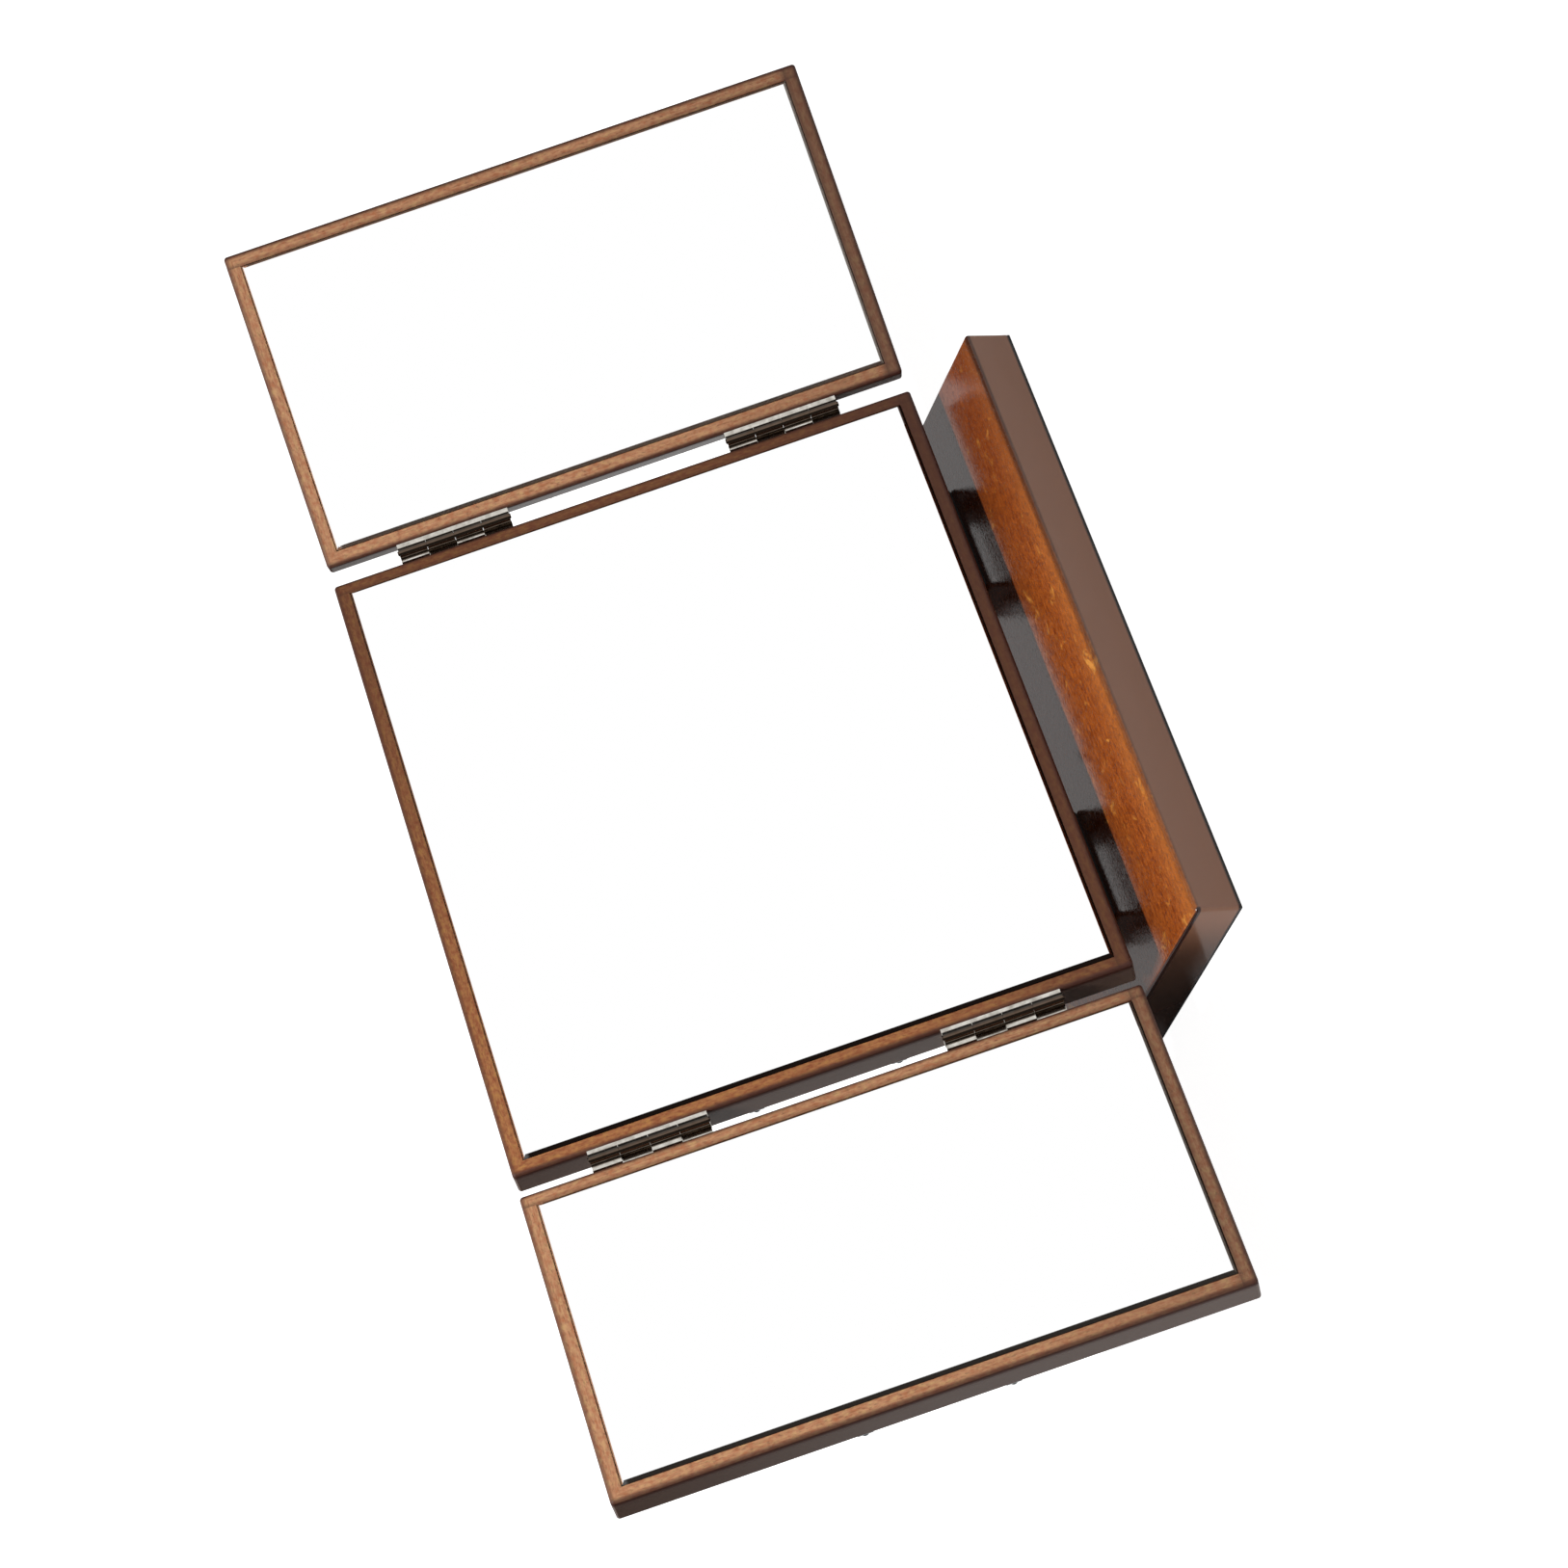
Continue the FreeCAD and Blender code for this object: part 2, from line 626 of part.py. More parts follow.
def build_backing(label, width, pose, arms):
    """The board behind the glass, flush with the frame's back, with pilot holes where it carries the arms."""
    body = new_body(label)
    edge = "(Sizes.wall_width + Sizes.backing_clearance)"
    half = f"(Sizes.{width} / 2 - {edge})"
    outline = new_sketch(body, "XZ_Plane", f"-{SEAT_DEPTH}")
    draw_rectangle(outline, f"-{half}", half, edge, f"Sizes.panel_height - {edge}")
    pad(body, outline, f"Sizes.panel_depth - {SEAT_DEPTH}", reverse=True)
    if arms:
        holes = new_sketch(body, "XZ_Plane", "-Sizes.panel_depth")
        for side in (-1, 1):
            for across in (-1, 1):
                for level in (0, 1):
                    draw_circle(
                        holes,
                        f"{side} * {BRACKET_ACROSS} + {across} * Sizes.arm_screw_across / 2",
                        f"Sizes.arm_foot + Sizes.arm_screw_foot + {level} * Sizes.arm_screw_rise",
                        "Sizes.arm_screw_diameter + 2 * Sizes.thread_clearance",
                    )
        pocket(body, holes, "Sizes.arm_screw_length - Sizes.arm_metal + Sizes.thread_clearance", reverse=True)
    return keep(body, label, pose)


def button_master():
    """A turn button, drawn flat with its screw hole at the origin and its tongue towards +Y."""
    body = new_body("turn_button")
    outline = new_sketch(body, "XY_Plane")
    half = "Sizes.button_width / 2"
    heel = "-Sizes.wall_width / 2 + Sizes.back_arris"
    draw_rectangle(outline, f"-{half}", half, heel, f"{heel} + Sizes.button_length")
    pad(body, outline, "Sizes.button_metal")
    tip = number(f"{heel} + Sizes.button_length")
    dress(body, "Fillet", "Sizes.button_width * 0.45",
          lambda edge: runs_along(edge, "z") and lies_at(edge, "y", tip))
    hole = new_sketch(body, "XY_Plane")
    draw_circle(hole, "0", "0", "Sizes.button_screw_diameter + 2 * Sizes.thread_clearance")
    pocket(body, hole, symmetric=True)
    return body


def build_panels():
    """The three panels: frame bars, glass, backing, turn buttons and their screws."""
    button = button_master()
    button_screw = screw_body("button_screw", "button_screw", "Sizes.button_screw_head_height", False)
    for panel, (width, pose) in PANELS.items():
        ring = build_frame_ring(panel, width)
        build_rails(panel, width, ring, pose)
        build_glass(f"{panel}_glass", width, pose)
        build_backing(f"{panel}_backing", width, pose, arms=panel == "centre")
        buttons = []
        screws = []
        for across, rise, angle in button_spots(panel, width):
            turn = Rotation(Vector(0, 1, 0), angle)
            spot = Vector(number(across), size("panel_depth"), number(rise))
            head_seat = spot + Vector(0, size("button_metal"), 0)
            buttons.append(Placement(spot, turn.multiply(Rotation(Vector(0, 1, 1), 180))))
            screws.append(Placement(head_seat, turn.multiply(Rotation(Vector(1, 0, 0), -90))))
        group(f"{panel}_turn_buttons", button, buttons, pose)
        group(f"{panel}_button_screws", button_screw, screws, pose)


# Wing hinges

HINGE_HEAD = "(Sizes.hinge_screw_head - Sizes.hinge_screw_diameter) / 2"
WEB_BACK = "(Sizes.barrel_diameter / 2 - Sizes.hinge_proud)"
LEAF_FRONT = f"({WEB_BACK} - Sizes.leaf_metal)"
NOTCH_FRONT = f"({WEB_BACK} + Sizes.barrel_clearance)"
LEAF_BACK = "(Sizes.panel_depth - Sizes.leaf_margin)"
LEAF_MIDDLE = f"(({WEB_BACK} + {LEAF_BACK}) / 2)"
KNUCKLE = f"(Sizes.hinge_length / {KNUCKLES})"


def screw_rise(step):
    """Height of one of a leaf's screws above the leaf's foot."""
    return f"(Sizes.hinge_length / 2 + ({step} - {(SCREWS_PER_LEAF - 1) / 2}) * Sizes.hinge_screw_pitch)"


def build_leaf(label, wing, side, foot, pose):
    """A cranked leaf on the side (-1 or +1) of a wing's hinge axis, drawn about the axis at the panel's front face.

    The lip of the -1 leaf runs behind the barrel, so the leaf is notched beside the other leaf's knuckles; the lip
    of the +1 leaf runs beside the barrel.
    """
    body = new_body(label)
    reach = f"Sizes.{wing}_gap / 2"
    plate = new_sketch(body, "XY_Plane")
    inside = f"{side} * ({reach} - Sizes.leaf_metal)"
    notched = side < 0
    lip = f"{side} * " + ("Sizes.lip_end" if notched else "Sizes.barrel_diameter / 2")
    lip_front = NOTCH_FRONT if notched else LEAF_FRONT
    lip_back = f"({lip_front} + Sizes.leaf_metal)"
    web_back = f"({NOTCH_FRONT} + Sizes.leaf_metal / 2)" if notched else WEB_BACK
    draw_polygon(plate, [
        (f"{side} * {reach}", lip_front),
        (lip, lip_front),
        (lip, lip_back),
        (inside, lip_back),
        (inside, LEAF_BACK),
        (f"{side} * {reach}", LEAF_BACK),
    ])
    pad(body, plate, "Sizes.hinge_length")
    first = 1 if notched else 0
    for knuckle in range(first, KNUCKLES, 2):
        low = f"{knuckle} * {KNUCKLE} + Sizes.knuckle_clearance / 2"
        tall = f"{KNUCKLE} - Sizes.knuckle_clearance"
        web = new_sketch(body, "XY_Plane", low)
        draw_rectangle(web, f"{side} * {reach}", "0", LEAF_FRONT, web_back)
        pad(body, web, tall)
        barrel = new_sketch(body, "XY_Plane", low)
        draw_circle(barrel, "0", "-Sizes.hinge_proud", "Sizes.barrel_diameter")
        pad(body, barrel, tall)
    bore = new_sketch(body, "XY_Plane")
    draw_circle(bore, "0", "-Sizes.hinge_proud", "Sizes.pin_diameter + 2 * Sizes.running_clearance")
    pocket(body, bore, reverse=True)
    holes = new_sketch(body, "YZ_Plane", f"{side} * {reach}")
    for step in range(SCREWS_PER_LEAF):
        draw_circle(holes, LEAF_MIDDLE, screw_rise(step), "Sizes.hinge_screw_diameter + 2 * Sizes.thread_clearance")
    pocket(body, holes, "Sizes.leaf_metal", reverse=side < 0)
    inner = side * (size(f"{wing}_gap") / 2 - size("leaf_metal"))
    dress(body, "Chamfer", HINGE_HEAD,
          lambda edge: isinstance(edge.Curve, Part.Circle) and lies_at(edge, "x", inner))
    return keep(body, label, pose.multiply(Placement(Vector(hinge_across(wing), 0, number(foot)), Rotation())))


def build_pin(label, wing, foot):
    """A hinge pin with bevelled ends that stand just past the knuckles."""
    body = new_body(label)
    sketch = new_sketch(body, "XZ_Plane")
    radius = "Sizes.pin_diameter / 2"
    slim = f"{radius} - Sizes.pin_end / 2"
    top = "Sizes.hinge_length + Sizes.pin_end"
    draw_polygon(sketch, [
        ("0", "-Sizes.pin_end"),
        (slim, "-Sizes.pin_end"),
        (radius, "-Sizes.pin_end / 2"),
        (radius, "Sizes.hinge_length + Sizes.pin_end / 2"),
        (slim, top),
        ("0", top),
    ])
    revolve(body, sketch)
    spot = Vector(hinge_across(wing), -size("hinge_proud"), number(foot))
    return keep(body, label, CENTRE.multiply(Placement(spot, Rotation())))


def build_wing_hinges():
    """The four wing hinges with their pins, and the screws of each panel."""
    screw = screw_body("hinge_screw", "hinge_screw", HINGE_HEAD, True)
    screws = {"left": [], "centre": [], "right": []}
    for wing, outward in OUTWARD.items():
        for level, foot in HINGE_FEET.items():
            name = f"{wing}_{level}_hinge"
            build_leaf(f"{name}_wing_leaf", wing, outward, foot, WINGS[wing])
            build_leaf(f"{name}_centre_leaf", wing, -outward, foot, CENTRE)
            build_pin(f"{name}_pin", wing, foot)
            for owner, side in ((wing, outward), ("centre", -outward)):
                inner = hinge_across(wing) + side * (size(f"{wing}_gap") / 2 - size("leaf_metal"))
                for step in range(SCREWS_PER_LEAF):
                    spot = Vector(inner, number(LEAF_MIDDLE), number(foot) + number(screw_rise(step)))
                    screws[owner].append(Placement(spot, Rotation(Vector(0, 1, 0), -side * 90)))
    group("left_wing_hinge_screws", screw, screws["left"], WINGS["left"])
    group("centre_hinge_screws", screw, screws["centre"], CENTRE)
    group("right_wing_hinge_screws", screw, screws["right"], WINGS["right"])


def check_document():
    """Stops if a feature failed or a sub-part's shape is empty or not valid."""
    for item in doc.Objects:
        if "Invalid" in item.State or "Error" in item.State:
            raise RuntimeError(f"{item.Label} failed: {item.State}")
    for node in nodes:
        if node.Shape.isNull() or not node.Shape.isValid():
            raise RuntimeError(f"{node.Label} has no valid shape")


build_base()
build_tilt_hinges()
build_panels()
build_wing_hinges()
doc.recompute()
check_document()
os.makedirs("parts", exist_ok=True)
for node in nodes:
    node.Shape.exportStep(f"parts/{node.Label}.step")
foot = CENTRE.multVec(Vector())
print(f"{len(nodes)} sub-parts; foot of the centre panel at y {foot.y:.2f}, z {foot.z:.2f}")
print(f"pivot at y {pivot.y:.3f}, z {pivot.z:.3f}")
for wing in OUTWARD:
    start = CENTRE.multVec(Vector(hinge_across(wing), -size("hinge_proud"), 0))
    print(f"{wing} hinge axis through {start.x:.3f}, {start.y:.3f}, {start.z:.3f}")
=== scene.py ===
"""Looks of a triptych vanity mirror: stained wood frames, bevelled mirrors, plated hinges, a lacquered plinth."""
import json
import logging
import math
from dataclasses import dataclass, field
from enum import Enum
from typing import Any

import bpy
from mathutils import Matrix, Vector

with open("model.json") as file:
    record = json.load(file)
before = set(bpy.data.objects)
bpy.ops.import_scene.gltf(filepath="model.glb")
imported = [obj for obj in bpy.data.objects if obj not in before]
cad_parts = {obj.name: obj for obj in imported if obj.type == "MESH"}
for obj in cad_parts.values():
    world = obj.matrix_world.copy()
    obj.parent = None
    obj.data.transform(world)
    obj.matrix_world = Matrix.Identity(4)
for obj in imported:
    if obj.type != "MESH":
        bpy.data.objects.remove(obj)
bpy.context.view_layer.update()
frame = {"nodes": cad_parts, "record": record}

MM = 0.001
# Blender's Mix node repeats the names of its sockets, so they are reached by number.
MIX_SHARE, MIX_UNDER, MIX_OVER, MIX_RESULT = 0, 6, 7, 2
MIX_LOW_LEVEL, MIX_HIGH_LEVEL = 2, 3
log = logging.getLogger("vanity_mirror")

Socket = bpy.types.NodeSocket
Tree = bpy.types.NodeTree
Node = bpy.types.Node
Rgba = tuple[float, float, float, float]
Pair = tuple[float, float]
Triple = tuple[float, float, float]


class Run(Enum):
    """The way the grain of a frame bar runs, as the panel's own axis."""

    ACROSS = 0
    UPRIGHT = 2


class Side(Enum):
    """The side of the centre panel that a wing hangs on, as the sign of X."""

    LEFT = -1
    RIGHT = 1


class Ease(Enum):
    """How a fade passes from one end to the other."""

    EVEN = "LINEAR"
    SOFT = "SMOOTHSTEP"


def linear(code: str) -> Rgba:
    """Turns an sRGB hex colour to linear light.

    Args:
        code: Six hex digits after a hash mark.

    Returns:
        Red, green and blue in linear light, and an alpha of 1.
    """
    parts = [int(code[i:i + 2], 16) / 255 for i in (1, 3, 5)]
    red, green, blue = (c / 12.92 if c <= 0.04045 else ((c + 0.055) / 1.055) ** 2.4 for c in parts)
    return (red, green, blue, 1.0)


def add_node(
    tree: Tree,
    kind: str,
    values: dict[Any, Any] | None = None,
    links: dict[Any, Socket] | None = None,
    **settings: Any,
) -> Node:
    """Adds a node to a tree.

    Args:
        tree: The tree that gets the node.
        kind: The node's type, without its leading word.
        values: Input values by input name or number.
        links: Sockets that feed the inputs, by input name or number.
        settings: Properties of the node.

    Returns:
        The new node.
    """
    node = tree.nodes.new(f"ShaderNode{kind}")
    for name, value in settings.items():
        setattr(node, name, value)
    for key, value in (values or {}).items():
        node.inputs[key].default_value = value
    for key, source in (links or {}).items():
        tree.links.new(source, node.inputs[key])
    return node


@dataclass(frozen=True)
class Fade:
    """A share that changes along a measure of the surface, such as a height in millimetres or a noise."""

    measure: Socket
    low: float
    high: float
    start: float = 0.0
    end: float = 1.0
    ease: Ease = Ease.EVEN


def share(tree: Tree, *fades: Fade | Socket) -> Socket:
    """Works out the share that is left where several fades meet, as their product.

    Args:
        tree: The material's tree.
        fades: Fades, or shares that were worked out before.

    Returns:
        The share, kept between the ends of each fade.
    """
    left: Socket | None = None
    for fade in fades:
        part = fade
        if isinstance(fade, Fade):
            part = add_node(
                tree, "MapRange",
                {"From Min": fade.low, "From Max": fade.high, "To Min": fade.start, "To Max": fade.end},
                {"Value": fade.measure}, interpolation_type=fade.ease.value,
            ).outputs[0]
        if left is None:
            left = part
        else:
            left = add_node(tree, "Math", links={0: left, 1: part}, operation="MULTIPLY").outputs[0]
    return left


def lay(tree: Tree, under: Socket | str, tone: Socket | str, *fades: Fade | Socket) -> Socket:
    """Lays a coat of a tone on a surface, as strong as its fades leave it.

    Args:
        tree: The material's tree.
        under: The colour underneath, as an output or an sRGB hex colour.
        tone: The coat's colour, given in the same way.
        fades: What thins the coat, from 0 for none to 1 for a full coat.

    Returns:
        The colour with the coat on it.
    """
    colours = {MIX_UNDER: under, MIX_OVER: tone}
    values = {key: linear(colour) for key, colour in colours.items() if isinstance(colour, str)}
    links = {key: colour for key, colour in colours.items() if not isinstance(colour, str)}
    links[MIX_SHARE] = share(tree, *fades)
    return add_node(tree, "Mix", values, links, data_type="RGBA").outputs[MIX_RESULT]


def own_axes(tree: Tree, pose: Matrix) -> Socket:
    """Gives a point's place in a piece's own axes.

    Args:
        tree: The material's tree.
        pose: The piece's axes and origin in the row frame, in metres.

    Returns:
        The place in millimetres.
    """
    inward = pose.inverted()
    mapping = add_node(
        tree, "Mapping",
        {"Location": inward.translation / MM, "Rotation": inward.to_euler(), "Scale": (1 / MM,) * 3},
        {"Vector": add_node(tree, "TexCoord").outputs["Object"]},
    )
    return mapping.outputs[0]


def lumps(
    tree: Tree, place: Socket, size_mm: Triple, detail: float = 3.0, rough: float = 0.5, warp: float = 0.0,
) -> Socket:
    """Draws soft lumps of a real size, such as fibres, pores or clouds of stain.

    Args:
        tree: The material's tree.
        place: A place in millimetres.
        size_mm: The size of a lump along each axis.
        detail: How many finer layers it has.
        rough: How strong the finer layers are.
        warp: How far the lumps are drawn out of shape.

    Returns:
        The pattern, about 0.5 on average.
    """
    sized = add_node(tree, "Mapping", {"Scale": [1 / size for size in size_mm]}, {"Vector": place})
    noise = add_node(
        tree, "TexNoise",
        {"Scale": 1.0, "Detail": detail, "Roughness": rough, "Distortion": warp},
        {"Vector": sized.outputs[0]},
    )
    return noise.outputs[0]


def offset(datum_mm: float, ends_mm: Pair) -> Pair:
    """Moves both ends of a fade to an edge of a piece.

    Args:
        datum_mm: Where the edge is.
        ends_mm: The ends, measured from the edge.

    Returns:
        The ends in the piece's own axes.
    """
    return (datum_mm + ends_mm[0], datum_mm + ends_mm[1])


@dataclass(frozen=True)
class Finish:
    """A real material and how its surface was made; subclasses draw its nodes."""

    name: str

    def material(self) -> bpy.types.Material:
        """Makes the finish's material, with its shader joined to the output.

        Returns:
            The material.
        """
        made = bpy.data.materials.new(self.name)
        made.use_nodes = True
        tree = made.node_tree
        tree.nodes.clear()
        shader = add_node(tree, "BsdfPrincipled")
        add_node(tree, "OutputMaterial", links={"Surface": shader.outputs[0]})
        self.draw(tree, shader)
        return made

    def draw(self, tree: Tree, shader: Node) -> None:
        """Draws the nodes that feed the shader.

        Args:
            tree: The material's tree.
            shader: Its principled shader.
        """
        raise NotImplementedError

    @staticmethod
    def feed(
        tree: Tree, shader: Node, colour: Socket, rough: Socket | float, relief: Socket, depth_mm: float,
    ) -> None:
        """Gives the shader its colour, its roughness and a fine relief.

        Args:
            tree: The material's tree.
            shader: Its principled shader.
            colour: The base colour.
            rough: The roughness, as an output or as one value for the whole surface.
            relief: The relief, from 0 to 1.
            depth_mm: The height of a full step of the relief.
        """
        tree.links.new(colour, shader.inputs["Base Color"])
        if isinstance(rough, float):
            shader.inputs["Roughness"].default_value = rough
        else:
            tree.links.new(rough, shader.inputs["Roughness"])
        bump = add_node(tree, "Bump", {"Strength": 1.0, "Distance": depth_mm * MM}, {"Height": relief})
        tree.links.new(bump.outputs[0], shader.inputs["Normal"])


@dataclass(frozen=True)
class BarTones:
    """The tones of one panel's stain, and how strong its painted shades and painted shade rims are, from 0 to 1."""

    pale: str
    deep: str
    honey: str
    russet: str
    # The colour of the dark ray flecks, and also of the painted shade.
    edge: str = "#44281d"
    side: str = "#5f4a40"
    # The colour of the painted shade along the outer arrises and on to the sides.
    arris_shade: str = "#3a150b"
    # How strong the painted shade is to the right, towards the foot, on the sill and next to the glass.
    right_shade: float = 0.0
    foot_shade: float = 0.3
    sill_shade: float = 0.0
    sight_shade: float = 0.5
    # How strong the painted shade rims are along the left, right and end arrises.
    left_rim: float = 0.9
    right_rim: float = 0.9
    end_rim: float = 0.75


@dataclass(frozen=True)
class StainedBeech(Finish):
    """Stained beech bar, planed and rubbed with a dull lacquer.

    The face shows fine straight fibres, honey and russet mottling and short dark ray flecks under a soft sheen; the
    sides are drawn in a darker, greyer brown. Painted shade darkens the face to the right, towards the foot, on the
    sill and next to the glass, and a narrow rim of painted shade runs along the outer arris and on to the sides.
    """

    pose: Matrix
    half_width_mm: float
    run: Run
    tones: BarTones
    height_mm: float = 260.0
    # Lengths along the grain and across it. Real fibres are too fine to show, so they are drawn coarser.
    fibre_mm: Pair = (16.0, 0.9)
    fleck_mm: Pair = (2.4, 0.8)
    mottle_mm: Pair = (3.4, 1.7)
    cloud_mm: Pair = (42.0, 12.0)
    fibre_ends: Pair = (0.34, 0.68)
    honey_ends: Pair = (0.50, 0.66)
    russet_ends: Pair = (0.50, 0.36)
    mottle_share: float = 0.7
    fleck_ends: Pair = (0.54, 0.70)
    fleck_share: float = 0.45
    cloud_ends: Pair = (0.3, 0.7)
    cloud_share: float = 0.25
    # Where the painted shade lies: towards the foot, on the sill and next to the glass.
    foot_part_of_height: float = 0.4
    sill_mm: Pair = (6.0, 9.0)
    face_mm: float = 6.0
    sight_mm: float = 2.2
    sight_step_mm: float = 0.1
    # Width of the painted shade rims along the outer arrises.
    rim_mm: Pair = (0.6, 2.6)
    side_ends_mm: Pair = (0.55, 1.25)
    # The painted shade band where the arris turns on to the side, and the gloss it keeps.
    arris_shade_ends_mm: Pair = (1.2, 4.4)
    arris_shade_share: float = 0.9
    face_and_side_rough: Pair = (0.58, 0.24)
    plain_and_shaded_specular: Pair = (0.5, 0.1)
    ior: float = 1.45
    fleck_depth_mm: float = 0.02

    def draw(self, tree: Tree, shader: Node) -> None:
        """Draws the figured face, its painted shades and painted shade rims, and the darker sides.

        Args:
            tree: The material's tree.
            shader: Its principled shader.
        """
        place = own_axes(tree, self.pose)
        across, inward, up = add_node(tree, "SeparateXYZ", links={0: place}).outputs
        flecks = self.along_grain(tree, place, self.fleck_mm, detail=2.0)
        wood = self.figure(tree, place, flecks)
        wood = self.shades(tree, wood, across, up)
        wood = self.rims(tree, wood, across, up)
        sides = share(tree, Fade(inward, *self.side_ends_mm, ease=Ease.SOFT))
        wood = lay(tree, wood, self.tones.side, sides)
        # Painted shade where the arris turns on to the side: a dark band with less gloss.
        shaded_band = share(tree, sides, Fade(inward, *self.arris_shade_ends_mm, self.arris_shade_share, 0.0, Ease.SOFT))
        wood = lay(tree, wood, self.tones.arris_shade, shaded_band)
        polish = add_node(tree, "Math", links={0: sides, 1: shaded_band}, operation="SUBTRACT").outputs[0]
        rough = share(tree, Fade(polish, 0.0, 1.0, *self.face_and_side_rough))
        self.feed(tree, shader, wood, rough, flecks, self.fleck_depth_mm)
        specular = share(tree, Fade(shaded_band, 0.0, 1.0, *self.plain_and_shaded_specular))
        tree.links.new(specular, shader.inputs["Specular IOR Level"])
        shader.inputs["IOR"].default_value = self.ior

    def along_grain(self, tree: Tree, place: Socket, size_mm: Pair, detail: float, rough: float = 0.5) -> Socket:
        """Draws lumps that lie along the bar's grain.

        Args:
            tree: The material's tree.
            place: A place in millimetres.
            size_mm: A lump's length and width.
            detail: How many finer layers it has.
            rough: How strong the finer layers are.

        Returns:
            The pattern.
        """
        length, width = size_mm
        sizes = tuple(length if axis == self.run.value else width for axis in range(3))
        return lumps(tree, place, sizes, detail=detail, rough=rough)

    def figure(self, tree: Tree, place: Socket, flecks: Socket) -> Socket:
        """Draws fibres, mottling, ray flecks and clouds of stain.

        Args:
            tree: The material's tree.
            place: A place in millimetres.
            flecks: The pattern of the ray flecks.

        Returns:
            The colour of the wood.
        """
        tones = self.tones
        fibres = self.along_grain(tree, place, self.fibre_mm, detail=5.0, rough=0.7)
        mottle = self.along_grain(tree, place, self.mottle_mm, detail=3.0, rough=0.6)
        clouds = self.along_grain(tree, place, self.cloud_mm, detail=2.0)
        wood = lay(tree, tones.pale, tones.deep, Fade(fibres, *self.fibre_ends))
        wood = lay(tree, wood, tones.honey, Fade(mottle, *self.honey_ends, 0.0, self.mottle_share))
        wood = lay(tree, wood, tones.russet, Fade(mottle, *self.russet_ends, 0.0, self.mottle_share))
        wood = lay(tree, wood, tones.edge, Fade(flecks, *self.fleck_ends, 0.0, self.fleck_share))
        return lay(tree, wood, tones.deep, Fade(clouds, *self.cloud_ends, 0.0, self.cloud_share))

    def shades(self, tree: Tree, wood: Socket, across: Socket, up: Socket) -> Socket:
        """Paints shade on the wood: darker to the right, towards the foot, on the sill and next to the glass.

        Args:
            tree: The material's tree.
            wood: The colour of the wood.
            across: The place across the panel.
            up: The place up the panel.

        Returns:
            The shaded colour.
        """
        tones, half = self.tones, self.half_width_mm
        foot_mm = self.height_mm * self.foot_part_of_height
        # Painted shade: darker to the right, towards the foot and on the sill.
        broad = (
            Fade(across, -half, half, 0.0, tones.right_shade, Ease.SOFT),
            Fade(up, 0.0, foot_mm, tones.foot_shade, 0.0, Ease.SOFT),
            Fade(up, *self.sill_mm, tones.sill_shade, 0.0, Ease.SOFT),
        )
        for fade in broad:
            wood = lay(tree, wood, tones.edge, fade)
        # Painted shade on the bar next to the glass, along its right and lower edges.
        for axis, edge, outward in ((across, half - self.face_mm, 1), (up, self.face_mm, -1)):
            on_bar = Fade(axis, edge - outward * self.sight_step_mm, edge)
            shade = Fade(axis, edge, edge + outward * self.sight_mm, tones.sight_shade, 0.0, Ease.SOFT)
            wood = lay(tree, wood, tones.edge, on_bar, shade)
        return wood

    def rims(self, tree: Tree, wood: Socket, across: Socket, up: Socket) -> Socket:
        """Paints a rim of shade along the four outer arrises of the face.

        Args:
            tree: The material's tree.
            wood: The colour of the wood.
            across: The place across the panel.
            up: The place up the panel.

        Returns:
            The colour with the rim on it.
        """
        tones, half, height = self.tones, self.half_width_mm, self.height_mm
        near, far = self.rim_mm
        edges = (
            Fade(across, near - half, far - half, tones.left_rim, 0.0, Ease.SOFT),
            Fade(across, half - far, half - near, 0.0, tones.right_rim, Ease.SOFT),
            Fade(up, near, far, tones.end_rim, 0.0, Ease.SOFT),
            Fade(up, height - far, height - near, 0.0, tones.end_rim, Ease.SOFT),
        )
        for fade in edges:
            wood = lay(tree, wood, tones.arris_shade, fade)
        return wood


